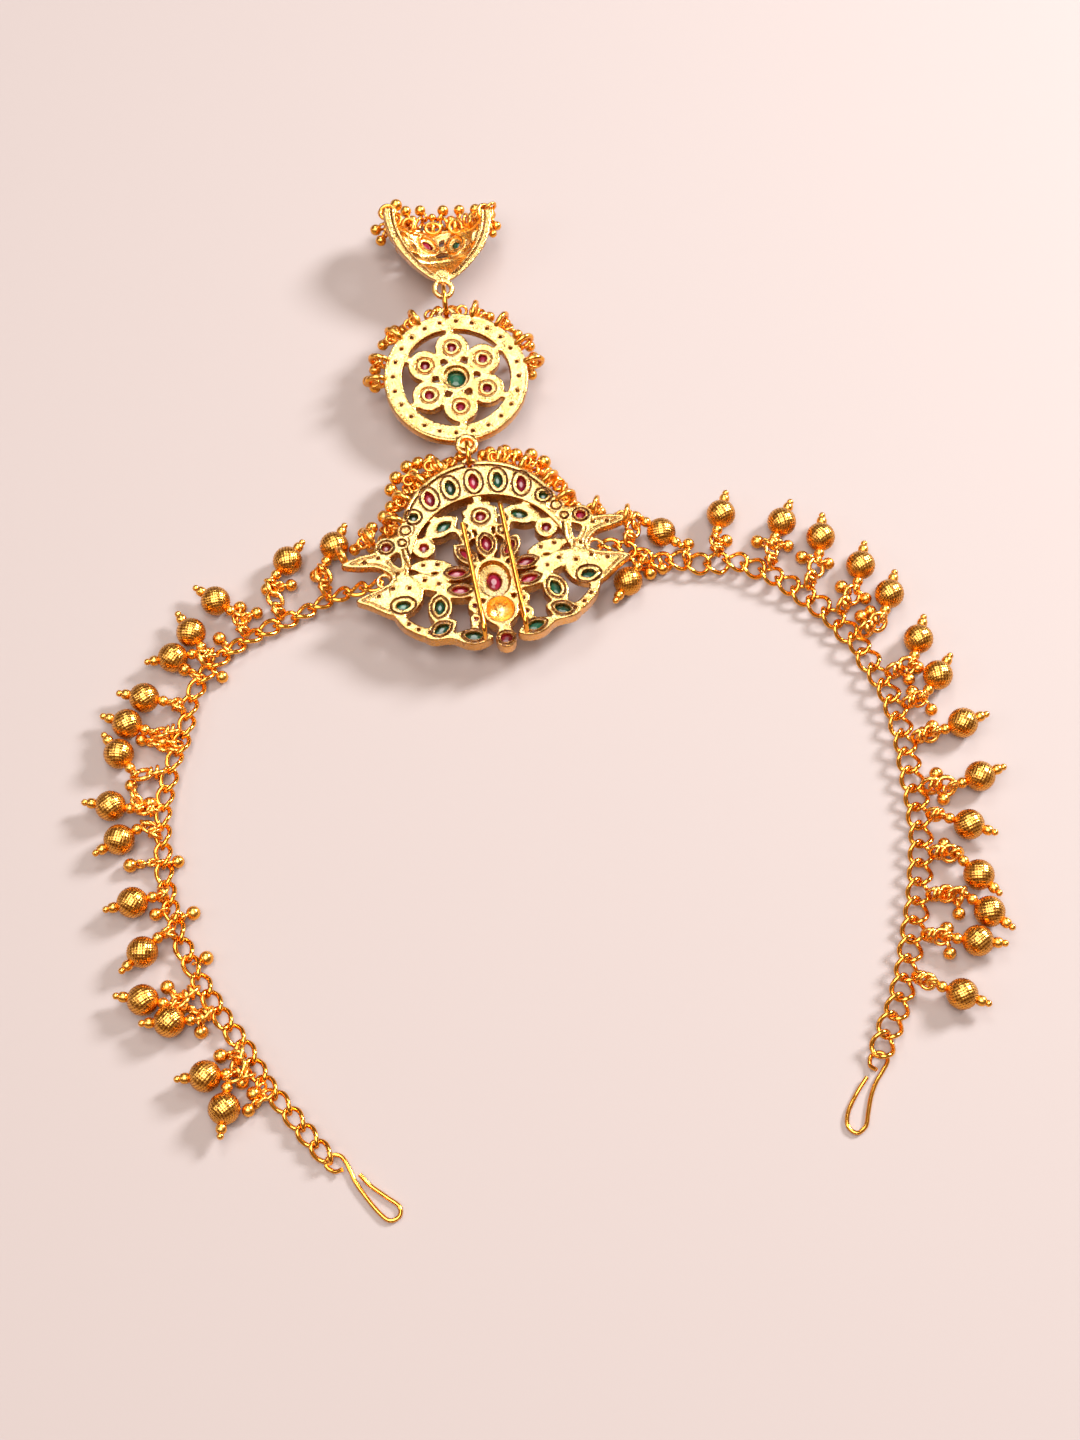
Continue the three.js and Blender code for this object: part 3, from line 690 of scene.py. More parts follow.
# %% The plaque's settings
# x, y, half-length, half-width, turn, colour, offset of the groove round the setting
MIDDLE_STONES = [
    (0, 14.9, 1.95, 0.95, 90, "ruby", 1.0),
    (0, 6.7, 1.05, 1.0, 0, "ruby", 0.85),
    (0, 0.1, 1.8, 0.95, 90, "ruby", 0.6),
    (0, -21.9, 1.25, 1.0, 0, "ruby", 0.5),
]
SIDE_STONES = [
    (5, 14.3, 1.95, 0.95, 86, "emerald", 1.0),
    (9.65, 12.5, 1.95, 0.95, 82, "ruby", 1.0),
    (13.6, 8.9, 0.95, 0.95, 0, "emerald", 0.75),
    (7.9, 5.75, 1.8, 0.9, -24, "emerald", 0),
    (12.75, 1.6, 0.95, 0.9, 0, "ruby", 0),
    (20.3, 3.1, 1.0, 0.95, 0, "ruby", 0.6),
    (4.5, -1.5, 1.8, 0.75, 52, "ruby", 0.5),
    (7.15, -5.45, 1.95, 0.8, 6, "ruby", 0.5),
    (7.1, -9.45, 1.9, 0.75, 8, "ruby", 0.5),
    (11.9, -12.55, 1.75, 0.95, 105, "emerald", 0.75),
    (19.1, -10.8, 1.6, 0.85, 0, "emerald", 0.9),
    (12.4, -17.5, 1.75, 0.9, -22, "emerald", 0.55),
    (6.3, -20.2, 1.9, 0.85, 12, "emerald", 0.5),
    (4.9, -13.6, 0.5, 0.45, 0, "ruby", 0),
    (5.2, -16.6, 0.45, 0.42, 0, "ruby", 0),
]
WIDE_GROOVE = 0.9  # from this offset on, a groove is an oval of its own
PLAIN_RINGS = [(15.75, 6.25, 1.05), (16.9, 3.55, 0.8), (3.75, 2.75, 0.8)]  # x, y, radius
DIMPLES = [
    # x, y: drilled pits on the birds, the side leaves and the lower straps
    (17.2, -7.2), (20.5, -6.7), (23.6, -7.8), (19, -3.4), (22.3, 0.9), (25.2, 0.6),
    (10.7, -2.9), (13.6, -2.5), (11.2, -7.3), (13.9, -6), (18.7, -15.2), (17, -16.8), (14.9, -17.9),
]


def both(rows):
    """Rows for the right half, and mirrored for the left: x changes sign, and so does a turn."""
    for x, y, *rest in rows:
        for side in (1, -1):
            mirrored = list(rest)
            if len(rest) >= 3 and side < 0:
                mirrored[2] = 180 - rest[2]
            yield (side * x, y, *mirrored)


def flipped(points, side):
    return [(side * x, y) for x, y in points]


plaque_stones = MIDDLE_STONES + list(both(SIDE_STONES))
print(len(plaque_stones), "small settings on the plaque")

# %% [markdown]
# ### The plaque's open work
# All motifs are plans that run together with small fillets, as wax does where it is joined. The
# birds are thinner, so they are a plan of their own, and so are the roundels on the arch band.

# %% Drawing the plaque


def plaque_plans(block):
    """The open work, the birds, and the roundels at the ends of the arch band."""
    angle = np.arctan2(block.x, block.y - FLOWER[1])
    plans = [
        block.circle(*FLOWER, 3.75) - 0.28 * np.cos(11 * angle),
        block.oval(0, 0.2, 2.3, 3.4),
        block.oval(*BOSS, 4.3, 5.1),
        block.circle(*DOME, 3.7),
        block.circle(0, -21.9, 2.1),
        block.strap(2.6, [(0, -18), (0, -21)]),
        block.strap(1.8, [(0, 9.5), (0, 12.5)]),
        *(block.leaf(*row) for row in both(LEAVES)),
        *(block.circle(*row) for row in both(ROUNDS)),
        *(block.strap(width, flipped(line, side)) for width, line in STRAPS for side in (1, -1)),
        *(block.circle(*row) for row in both([BIRD_BODY])),
    ]
    roundels = merged([block.circle(x, y, r + 0.75) for x, y, r in both(PLAIN_RINGS[:2])])
    birds = [
        np.maximum(block.outline(flipped(BIRD, side)), -block.outline(flipped(BIRD_HOLE, side)))
        for side in (1, -1)
    ]
    return merged([*plans, roundels], FILLET), merged(birds), roundels


def groove_lines(block):
    """The middle lines of the grooves round the settings and of the plain rings."""
    rings, wide = [], []
    for x, y, long, short, turn, _, offset in plaque_stones:
        if offset >= WIDE_GROOVE:
            wide.append(np.abs(block.oval(x, y, long + 1, short + 1, turn)) - 0.15)
        elif offset:
            rings.append(np.abs(block.setting(x, y, long, short, turn) - offset) - 0.15)
    return merged(rings + wide + [np.abs(block.circle(x, y, r)) - 0.14 for x, y, r in both(PLAIN_RINGS)])


print("the plaque's plans are ready")

# %% [markdown]
# ### Carving the plaque
# The forms are joined first: open work, birds, band, lug, boss, dome and the chains' eyes. Then the
# grooves, settings and pits are cut. The back is a little uneven, more so in its lower half, and a
# burr stands round each drilled pit.

# %% Carving the plaque


def carve_plaque():
    block = Block((-31.5, -25, -0.3), (31.5, 22.5, 10.3), STEP)
    work, birds, roundels = plaque_plans(block)
    outer, inner = block.circle(*BAND_OUTER), block.circle(*BAND_INNER)
    band = np.maximum(np.maximum(outer, -inner), BAND_FOOT - block.y)
    pits = merged([block.circle(x, y, 0) for x, y in both(DIMPLES)])
    uneven = 0.05 * wave_noise(block.x.shape, 3, 11) + 0.05 * wave_noise(block.x.shape, 9, 12)
    low_half = np.clip((2 - block.y) / 8, 0.2, 1)
    back = BACK + uneven * low_half + ridge(pits, 0.5, 0.12, 0.18)
    lip = ridge(outer, -0.45, 0.18, 0.3)
    band_top = np.where(roundels > 0, BAND_TOP + lip + 0.3 * uneven, BACK)

    block.join(block.slab(work, BOTTOM, back, 0.3))
    block.join(block.slab(birds, THIN_BOTTOM, back, 0.3), 0.5)
    block.join(block.slab(band, BOTTOM, band_top, 0.2), 0.25)
    block.join(block.slab(block.circle(0, PLAQUE_LUG, LUG_R), BACK - 1.6, BACK, 0.3), 0.4)
    block.join(block.turned(*BOSS, BOSS_FRONT), 0.4)
    block.join(block.turned(*DOME, DOME_FRONT), 0.4)
    for eye in both([CHAIN_EYE]):
        block.join(block.torus(*eye, EYE_R, EYE_WIRE), 0.3)

    top = np.where((band < 0) & (roundels > 0), BAND_TOP, back)
    # The last number of each pit is how much painted shade it gets.
    block.pit(groove_lines(block), top - 0.42, painted_shade=0.9)
    feathers = np.maximum(np.abs(birds + 0.85) - 0.13, 0.5 - work)
    block.pit(feathers, back - 0.3, painted_shade=0.6)
    edge = np.maximum(np.abs(outer + 1.05) - 0.14, np.maximum(band, -roundels))
    block.pit(edge, BAND_TOP - 0.45, painted_shade=0.9)
    block.pit(merged([block.setting(*row[:5]) for row in plaque_stones]), BOTTOM - 1)
    block.pit(pits - 0.3, back - 0.6, 0.2, painted_shade=1)
    block.pit(block.oval(*BOSS, 3.05, 3.85), 7.5, 0.25, painted_shade=0.5)
    block.pit(block.oval(*BOSS, 1.5, 2.0), 4.6)
    flat = np.hypot(block.x - DOME[0], block.y - DOME[1])[:, :, None]
    block.cut(np.hypot(flat, block.z - 8.9) - 2.85)
    block.pit(block.circle(0, PLAQUE_LUG + 0.3, LUG_HOLE), 0)
    return block


plaque_mesh = cast("plaque_casting", carve_plaque(), PLAQUE_SEAT, ADAPTIVITY, PLAQUE_MOST)
put("plaque_casting", plaque_mesh, CAST_GOLD, "gold", ["plaque"])
print("plaque carved and cast")

# %% [markdown]
# ## The disc
# A flat ring with a row of drilled pits holds six petals round a boss, each petal with a ruby in a
# sunk ring. The petals touch, so only small three-sided gaps are left near the boss.

# %% Carving the disc
DISC_R, DISC_BORE, DISC_THICK = 15.4, 11.5, 2.2
PETAL_RING, PETAL_R = 7.15, 3.65
PIT_RING, PIT_COUNT = 13.4, 24
RING_EYE_R, RING_EYE_WIRE = 1.9, 0.6  # the eyes that the link rings go through
DISC_LUG, DISC_EYE = 15.1, (0, -16.6, 0.3)
LUG_THICK = 1.6
THROUGH = -9  # below any casting
DISC_BOSS = [(2.2, -6.2), (3.4, -4.8), (3.8, -3), (3.8, 0)]


def six(first, reach):
    """Six points round the middle, the first at an angle and all at one reach."""
    return [(reach * cos(radians(first + 60 * i)), reach * sin(radians(first + 60 * i))) for i in range(6)]


def carve_disc():
    block = Block((-16, -19, -6.5), (16, 17.8, 1.2), STEP)
    petals = six(90, PETAL_RING)
    outer = block.circle(0, 0, DISC_R)
    band = np.maximum(outer, -block.circle(0, 0, DISC_BORE))
    flower = [block.circle(x, y, PETAL_R) for x, y in petals]
    flower += [block.strap(1.6, [petal, rim]) for petal, rim in zip(petals, six(90, 12))]
    angles = np.radians(np.arange(PIT_COUNT) * 15 + 7.5)
    pits = merged([block.circle(PIT_RING * cos(a), PIT_RING * sin(a), 0) for a in angles])
    uneven = 0.05 * wave_noise(block.x.shape, 3, 21) + 0.06 * wave_noise(block.x.shape, 9, 22)
    top = uneven + ridge(pits, 0.5, 0.1, 0.18) + ridge(outer, -0.35, 0.15, 0.25)
    block.join(block.slab(merged(flower, 0.3), -DISC_THICK, top, 0.25))
    block.join(block.slab(band, -DISC_THICK, top, 0.25), 0.3)
    block.join(block.turned(0, 0, DISC_BOSS), 0.3)
    for side in (1, -1):
        block.join(block.slab(block.circle(0, side * DISC_LUG, LUG_R), -LUG_THICK, 0, 0.3), 0.4)
    block.join(block.torus(*DISC_EYE, RING_EYE_R, RING_EYE_WIRE), 0.2)

    # The last number of each pit is how much painted shade it gets.
    block.pit(merged([np.abs(block.circle(x, y, 1.85)) - 0.15 for x, y in petals]), -0.4, painted_shade=0.6)
    block.pit(merged([block.circle(x, y, 0.95) for x, y in petals]), THROUGH)
    block.pit(merged([block.circle(x, y, 0.7) for x, y in six(60, 4.45)]), THROUGH)
    block.pit(pits - 0.28, -0.6, 0.2, painted_shade=1)
    block.pit(block.circle(0, 0, 2.6), -0.9, 0.2, painted_shade=0.5)
    block.pit(block.circle(0, 0, 1.95), -4.6)
    block.pit(block.circle(0, DISC_LUG + 0.2, LUG_HOLE), THROUGH)
    return block


disc_mesh = cast("disc_casting", carve_disc(), DISC_SEAT, ADAPTIVITY, OTHER_MOST)
put("disc_casting", disc_mesh, CAST_GOLD, "gold", ["disc"])
print("disc carved and cast")

# %% [markdown]
# ## The half bell
# A bell cut in half lies on its back, so the camera looks into its hollow. Its wall is one curve
# turned about its axis. What shows inside is where the stones' collars, the holes between them and
# the ribs come through, and the two cut edges are flat rails with a groove along them.

# %% The bell's patterns
BELL_PROFILE = [
    # distance from the apex, outer radius
    (0, 1.6), (0.9, 3.2), (3.7, 6.2), (7.2, 8.9), (10.6, 10.6), (14, 11.5), (17.2, 11.7),
]
BELL_LENGTH, BELL_WALL, BELL_RAIL = 17.2, 1.3, 2.1
BELL_EYE = (0, -2.1, -0.4)
BELL_STONES = [
    # angle from the bottom, distance along the axis, half-length, half-width, turn, colour, collar
    (-46, 12.6, 0.95, 0.9, 0, "emerald", 1.35),
    (-8, 13.2, 1.5, 0.8, -38, "ruby", 1.05),
    (29, 12.7, 0.95, 0.9, 0, "emerald", 1.35),
    (66, 12.9, 1.35, 0.75, 52, "ruby", 0.85),
    (-78, 13.4, 1.35, 0.75, -60, "ruby", 0.6),
]
BELL_HOLES = [
    # angle, distance along, half-length, half-width, turn
    (-62, 12.6, 0.9, 0.55, 90), (-27, 12.4, 0.9, 0.55, 90), (10, 13.9, 1.0, 0.6, 60),
    (47, 12.6, 0.9, 0.55, 90), (84, 12.8, 0.8, 0.5, 90), (10, 10.4, 1.7, 0.6, 8),
    (-29, 9.8, 1.6, 0.55, -10), (47, 10, 1.6, 0.55, 12), (-68, 9.6, 1.4, 0.5, -20),
]
BELL_RIBS = [(16.3, 0.45, 0.35), (8.5, 0.35, 0.3), (10.9, 0.3, 0.25)]  # distance along, height, width


def bell_radius(along):
    distances, radii = zip(*smooth_line(BELL_PROFILE))
    return np.interp(along, distances, radii)


print("bell mouth radius", round(float(bell_radius(BELL_LENGTH)), 2), "mm")

# %% [markdown]
# ### Carving the bell
# The plans are drawn on the wall: one direction runs round it and the other along the axis. The
# wall is thinner than its distance from the axis says where it slopes, so distances across it are
# shortened by its lean.

# %% Carving the bell


def carve_bell():
    block = Block((-12.6, -4.9, -12.4), (12.6, 17.8, 0.8), STEP)
    x, y, z = block.x[:, :, None], block.y[:, :, None], block.z
    out, angle, radius = np.hypot(x, z), np.degrees(np.arctan2(x, -z)), bell_radius(y)
    stations = np.linspace(0, BELL_LENGTH, 173)
    slope = np.gradient(bell_radius(stations), 0.1)
    lean = 1 / np.sqrt(1 + np.interp(y, stations, slope) ** 2)

    def plan(turn, along, a, b, spin):
        """An oval, or a leaf if it is slender, on the wall."""
        u, v = turned_by(np.radians(angle - turn) * bell_radius(along), y - along, spin)
        return (leaf_edge if a > 1.5 * b else oval_edge)(u, v, a, b)

    stones = [(plan(*row[:5]), row[6]) for row in BELL_STONES]
    ribs = 0.1 * np.cos(2 * pi * y / 0.62) * (y < 7.5) + 0.06 * wave_noise(y.shape[:2], 4, 31)[..., None]
    scallops = 0.4 * np.sin(np.radians(angle * 4.8))
    for place, height, width in BELL_RIBS:
        ribs = np.maximum(ribs, height * np.exp(-(((y - place - scallops) / width) ** 2)))
    for edge, collar in stones:
        ribs = np.where(edge < collar + 0.5, 0.1, ribs)
        ribs = np.maximum(ribs, ridge(edge, collar, 0.75, 0.33))
    wall = np.maximum(out - radius - 0.3 * (ribs > 0.25), radius - BELL_WALL - ribs - out) * lean
    rail = np.maximum(np.maximum(out - radius, radius - BELL_RAIL - out) * lean, -0.7 - z)
    shell = soft_min(wall, rail, 0.3)
    shell = np.maximum(shell, np.maximum(np.maximum(z, y - BELL_LENGTH), -y))
    block.join(shell.astype(np.float32))
    block.join(block.slab(block.circle(0, 0.9, 1.6), -1.4, 0, 0.2), 0.2)
    block.join(block.torus(*BELL_EYE, RING_EYE_R, RING_EYE_WIRE), 0.3)

    groove = np.abs(np.abs(block.x) - bell_radius(block.y) + 1.35) * lean[:, :, 0] - 0.17
    # The last number of the pit is how much painted shade the groove gets.
    block.pit(np.maximum(groove, 1.2 - block.y), -0.55, painted_shade=0.7)
    for hole in [edge for edge, _ in stones] + [plan(*row) for row in BELL_HOLES]:
        block.cut(np.maximum(hole, 3 - out))
    return block


bell_mesh = cast("bell_casting", carve_bell(), BELL_SEAT, ADAPTIVITY, OTHER_MOST)
put("bell_casting", bell_mesh, CAST_GOLD, "gold", ["bell"])
print("bell carved and cast")

# %% [markdown]
# ## The stones
# Small glass stones in closed-front settings: from behind each shows its pavilion, cut in a few
# facets. All have the same cut, so one function makes any of them from its outline.

# %% Cutting a stone
FACETS = [
    # share of the outline, height in millimetres
    (0.35, 0.55), (0.72, 0.42), (1, 0.05), (1, -0.1), (0.7, -0.45), (0.3, -0.6),
]


def stone_outline(long, wide, count=16):
    """Points of an outline: a leaf if slender, otherwise an oval."""
    angles = np.arange(count) * 2 * pi / count
    if long > 1.6 * wide:
        r = (long * long + wide * wide) / (2 * wide)
        u = long * np.cos(angles)
        v = np.sign(np.sin(angles)) * (np.sqrt(r * r - u * u) - (r - wide))
        return np.stack([u, np.where(np.abs(np.sin(angles)) < 1e-6, 0, v)], 1)
    return np.stack([long * np.cos(angles), wide * np.sin(angles)], 1)


def lofted(rows, count, first=0, downwards=False):
    """Faces between rings of points that lie row on row, up or down, with a face on each end."""
    start, end = range(first, first + count), range(first + (rows - 1) * count, first + rows * count)
    faces = [tuple(start) if downwards else tuple(reversed(start))]
    for row in range(rows - 1):
        for i in range(count):
            a, b = first + row * count + i, first + row * count + (i + 1) % count
            faces.append((a, a + count, b + count, b) if downwards else (a, b, b + count, a + count))
    faces.append(tuple(reversed(end)) if downwards else tuple(end))
    return faces


def stone_mesh(name, stones):
    """One mesh with several stones, each (long, wide, place, height)."""
    points, faces = [], []
    for long, wide, place, height in stones:
        outline = stone_outline(long, wide)
        faces += lofted(len(FACETS), len(outline), len(points), downwards=True)
        for share, rise in FACETS:
            points += [place @ Vector((share * u, share * v, rise * height)) for u, v in outline]
    return plain_mesh(name, points, faces)


print("each stone has", len(FACETS), "rings of facets")

# %% [markdown]
# ### Setting the stones
# The stones of one colour in a casting are one piece. Each is a hair larger than its hole, so no
# light gets past it.

# %% Setting the stones
OVERLAP = 0.06
BELOW_BACK = 1.15  # how deep a stone's middle lies


def stone_piece(name, stones, casting, material, slot, nodes=()):
    mesh = stone_mesh(name, stones)
    mesh.transform(LAYOUT @ casting)
    put(name, mesh, material, slot, nodes)
    mesh.shade_flat()
    print(name, len(stones), "stones")


def flat_stone(x, y, z, long, wide, turn, height=1.0):
    place = Matrix.Translation((x, y, z)) @ Matrix.Rotation(radians(turn), 4, "Z")
    return long + OVERLAP, wide + OVERLAP, place, height


def bell_stone(turn, along, long, wide, spin):
    """A stone in the bell's wall, its back towards the axis."""
    reach = float(bell_radius(along)) - 0.55
    upright = Matrix.Translation((0, along, 0)) @ Matrix.Rotation(radians(-turn), 4, "Y")
    set_in = upright @ Matrix.Translation((0, 0, -reach)) @ Matrix.Rotation(radians(spin), 4, "Z")
    return long + OVERLAP, wide + OVERLAP, set_in, 1.0


def plaque_rows(colour):
    rows = []
    for x, y, long, wide, turn, shade, _ in plaque_stones:
        if shade == colour:
            on_band = abs(x) < 12 and y > 12
            rows.append(flat_stone(x, y, (BAND_TOP if on_band else BACK) - BELOW_BACK, long, wide, turn))
    return rows


centre_stone = flat_stone(*BOSS, 6.6, 2.0, 1.5, 90, 1.2)
stone_piece(
    "plaque_rubies", plaque_rows("ruby") + [centre_stone], PLAQUE_SEAT, RUBY, "ruby",
    ["arch_stone_01", "arch_stone_03", "arch_stone_05", "centre_stone"],
)
stone_piece(
    "plaque_emeralds", plaque_rows("emerald"), PLAQUE_SEAT, EMERALD, "emerald",
    ["arch_stone_02", "arch_stone_04"],
)
petal_rubies = [flat_stone(x, y, -1.0, 0.95, 0.95, 0) for x, y in six(90, PETAL_RING)]
stone_piece("disc_rubies", petal_rubies, DISC_SEAT, RUBY, "ruby")
disc_stone = flat_stone(0, 0, -1.9, 1.9, 1.9, 0, 1.3)
stone_piece("disc_emerald", [disc_stone], DISC_SEAT, EMERALD, "emerald", ["disc_stone"])
for name, colour, material in (("bell_rubies", "ruby", RUBY), ("bell_emeralds", "emerald", EMERALD)):
    rows = [bell_stone(*row[:5]) for row in BELL_STONES if row[5] == colour]
    stone_piece(name, rows, BELL_SEAT, material, colour)

# %% [markdown]
# ## Findings and the trees that string them
# The small ready-made parts are findings to a jeweller: balls, rings, tubes and links. Hundreds of
# them repeat, so each is made once with few faces, and Geometry Nodes put copies where they belong.
# Everything is grown in layout millimetres and then moved into the frame.

# %% Trees that grow a mesh


def growing_tree(name, inputs):
    """A Geometry Nodes tree that takes a geometry and named inputs, and gives a geometry."""
    tree = bpy.data.node_groups.new(name, "GeometryNodeTree")
    for label, kind in {"Geometry": "Geometry", **inputs}.items():
        tree.interface.new_socket(label, in_out="INPUT", socket_type="NodeSocket" + kind)
    tree.interface.new_socket("Geometry", in_out="OUTPUT", socket_type="NodeSocketGeometry")
    return tree, tree.nodes.new("NodeGroupInput").outputs, tree.nodes.new("NodeGroupOutput").inputs


def finished(tree, geometry, material, out):
    """The last nodes of every tree: real geometry with its material."""
    real = add(tree, "GeometryNodeRealizeInstances", {"Geometry": geometry}).outputs[0]
    painted = add(tree, "GeometryNodeSetMaterial", {"Geometry": real, "Material": material}).outputs[0]
    tree.links.new(painted, out["Geometry"])
    return tree


def smooth_curve(tree, geometry, step):
    """A smooth line through a mesh's points, divided into steps."""
    curve = add(tree, "GeometryNodeMeshToCurve", {0: geometry}).outputs[0]
    smooth = add(tree, "GeometryNodeCurveSplineType", {0: curve}, spline_type="CATMULL_ROM").outputs[0]
    return add(tree, "GeometryNodeResampleCurve", {"Curve": smooth, "Length": step}, mode="LENGTH").outputs[0]


def named(tree, name, kind):
    node = add(tree, "GeometryNodeInputNamedAttribute", {"Name": name}, data_type=kind)
    return live_socket(node.outputs, "Attribute")


def grow(name, mesh, tree, values):
    """What a tree makes of a mesh, as a plain mesh."""
    carrier = linked(name, mesh)
    modifier = carrier.modifiers.new(tree.name, "NODES")
    modifier.node_group = tree
    for item in tree.interface.items_tree:
        if item.in_out == "INPUT" and item.name in values:
            modifier[item.identifier] = values[item.name]
    grown = evaluated(carrier)
    grown.name = name
    return grown


def line_mesh(name, points, closed=False):
    edges = [(i, i + 1) for i in range(len(points) - 1)]
    if closed:
        edges.append((len(points) - 1, 0))
    return plain_mesh(name, [tuple(p) for p in points], [], edges)


print("ready to grow meshes")

# %% [markdown]
# ### Knurled bead
# The hollow beads are stamped with rows of small round pits that sit like bricks, half a pit over
# from row to row. The product of two waves, one round the sphere and one from pole to pole, has its
# peaks in just that pattern, so the tree pushes a sphere's points in by it. Four points to a wave
# are enough, because the shading is smooth, and towards the two holes the pits fade out. How deep
# each point lies is kept as the attribute "pit", and by it the material paints shade into the pits.

# %% Tree: knurled bead
BEAD_R = 3.0


def bead_tree():
    inputs = {"Columns": "Int", "Rows": "Int", "Radius": "Float", "Relief": "Float", "Material": "Material"}
    tree, given, out = growing_tree("knurled_bead", inputs)
    sphere = add(
        tree, "GeometryNodeMeshUVSphere",
        {"Segments": given["Columns"], "Rings": given["Rows"], "Radius": given["Radius"]},
    ).outputs["Mesh"]
    number = math(tree, "SUBTRACT", add(tree, "GeometryNodeInputIndex").outputs[0], 1.0)
    row = math(tree, "FLOOR", math(tree, "DIVIDE", number, given["Columns"]))
    column = math(tree, "MODULO", number, given["Columns"])
    waves = [math(tree, "COSINE", math(tree, "MULTIPLY", count, pi / 2)) for count in (row, column)]
    pitted = math(tree, "MULTIPLY_ADD", math(tree, "MULTIPLY", *waves), 0.5, 0.5)
    sunk = math(tree, "POWER", pitted, 1.7)
    place = add(tree, "GeometryNodeInputPosition").outputs[0]
    height = add(tree, "ShaderNodeSeparateXYZ", {0: place}).outputs["Z"]
    latitude = math(tree, "ABSOLUTE", math(tree, "DIVIDE", height, given["Radius"]))
    fade = math(tree, "MULTIPLY", math(tree, "SUBTRACT", 1.0, latitude), 12.0, clamp=True)
    pit = math(tree, "MULTIPLY", sunk, fade)
    # The stored "pit" makes the material paint shade into the pits.
    kept = add(
        tree, "GeometryNodeStoreNamedAttribute", {"Geometry": sphere, "Name": "pit"}, data_type="FLOAT",
    )
    tree.links.new(pit, live_socket(kept.inputs, "Value"))
    depth = math(tree, "MULTIPLY", pit, given["Relief"])
    share = math(tree, "DIVIDE", math(tree, "MULTIPLY", depth, -1.0), given["Radius"])
    push = add(tree, "ShaderNodeVectorMath", {0: place, "Scale": share}, operation="SCALE").outputs[0]
    knurled = add(tree, "GeometryNodeSetPosition", {"Geometry": kept.outputs[0], "Offset": push}).outputs[0]
    return finished(tree, knurled, given["Material"], out)


bead_mesh = grow(
    "knurled_bead", bpy.data.meshes.new("blank"), bead_tree(),
    {"Columns": 80, "Rows": 40, "Radius": BEAD_R + 0.05, "Relief": 0.26, "Material": BEAD_GOLD},
)
print("knurled bead:", triangles(bead_mesh), "triangles")

# %% [markdown]
# ### Rings, balls and tubes
# A jump ring is a circle of round wire. A curb link is an oval of wire whose two ends are twisted
# against each other, so that a row of them lies flat. Balls and tubes are turned from a few rows.

# %% Findings


def ring_mesh(name, long, wide, wire, twist=0, around=22, across=7):
    """A closed oval of round wire; twist turns its two ends against each other, in degrees."""
    points, faces = [], []
    for i in range(around):
        t = 2 * pi * i / around
        middle = Vector((long * cos(t), wide * sin(t), 0))
        along = Vector((-long * sin(t), wide * cos(t), 0)).normalized()
        side = along.cross(Vector((0, 0, 1)))
        roll = Matrix.Rotation(radians(twist) * cos(t), 3, "X")
        a, b = i * across, (i + 1) % around * across
        for j in range(across):
            s, k = 2 * pi * j / across, (j + 1) % across
            points.append(roll @ (middle + wire * (cos(s) * side + sin(s) * Vector((0, 0, 1)))))
            faces.append((a + j, b + j, b + k, a + k))
    return plain_mesh(name, points, faces)


def turned_mesh(name, rows, sides=18):
    """Turned about Z from (radius, height) rows, from the lowest to the highest."""
    angles = [2 * pi * j / sides for j in range(sides)]
    points = [(r * cos(angle), r * sin(angle), z) for r, z in rows for angle in angles]
    return plain_mesh(name, points, lofted(len(rows), sides))


def ball_rows(count=11):
    angles = [pi * (i + 0.35) / (count - 0.3) for i in range(count)]
    return [(sin(angle), -cos(angle)) for angle in angles]


TUBE_ROWS = [
    (0.4, -0.95), (0.72, -0.88), (0.95, -0.62), (1.06, -0.2),
    (1.06, 0.2), (0.95, 0.62), (0.72, 0.88), (0.4, 0.95),
]
FINDINGS = {
    # in the order of their names, because the tree picks them by number
    "a_bead": bead_mesh,
    "b_ball": turned_mesh("ball", ball_rows()),
    "c_tube": turned_mesh("tube", TUBE_ROWS),
    "d_small_ring": ring_mesh("small_ring", 0.85, 0.85, 0.34),
    "e_ring": ring_mesh("ring", 1.2, 1.2, 0.41),
    "f_big_ring": ring_mesh("big_ring", 1.7, 1.7, 0.5),
    "g_pin": turned_mesh("pin", [(0.3, -1), (0.3, 1)], 8),
    "h_oval_ring": ring_mesh("oval_ring", 1.65, 1.2, 0.42),
}
NUMBER = {name[2:]: i for i, name in enumerate(FINDINGS)}
tray = bpy.data.collections.new("findings")
bpy.context.scene.collection.children.link(tray)
for finding, mesh in FINDINGS.items():
    tray.objects.link(bpy.data.objects.new(finding, mesh))
    print(finding, triangles(mesh), "triangles")

# %% [markdown]
# ### Stringing
# The tree reads a cloud of points. Each point says which finding it carries, how it is turned and
# how large it is, so one tree makes every drop and every fringe.

# %% Tree: strung findings


def strung_tree():
    tree, given, out = growing_tree("strung", {"Findings": "Collection", "Material": "Material"})
    kit = add(
        tree, "GeometryNodeCollectionInfo",
        {"Collection": given["Findings"], "Separate Children": True, "Reset Children": True},
    ).outputs[0]
    turn = add(tree, "FunctionNodeEulerToRotation", {0: named(tree, "turn", "FLOAT_VECTOR")}).outputs[0]
    placed = add(
        tree, "GeometryNodeInstanceOnPoints",
        {
            "Points": given["Geometry"], "Instance": kit, "Pick Instance": True,
            "Instance Index": named(tree, "which", "INT"), "Rotation": turn,
            "Scale": named(tree, "size", "FLOAT_VECTOR"),
        },
    ).outputs[0]
    return finished(tree, placed, given["Material"], out)


STRUNG = strung_tree()


def strung(name, rows, place, material):
    """A mesh of findings; rows are (finding, place, turn, size), in millimetres and degrees."""
    cloud = line_mesh(name, [row[1] for row in rows])
    which = cloud.attributes.new("which", "INT", "POINT")
    turn = cloud.attributes.new("turn", "FLOAT_VECTOR", "POINT")
    size = cloud.attributes.new("size", "FLOAT_VECTOR", "POINT")
    for i, (finding, _, angles, scale) in enumerate(rows):
        which.data[i].value = NUMBER[finding]
        turn.data[i].vector = [radians(angle) for angle in angles]
        size.data[i].vector = scale if isinstance(scale, tuple) else (scale, scale, scale)
    mesh = grow(name, cloud, STRUNG, {"Findings": tray, "Material": material})
    mesh.transform(LAYOUT @ place)
    return mesh


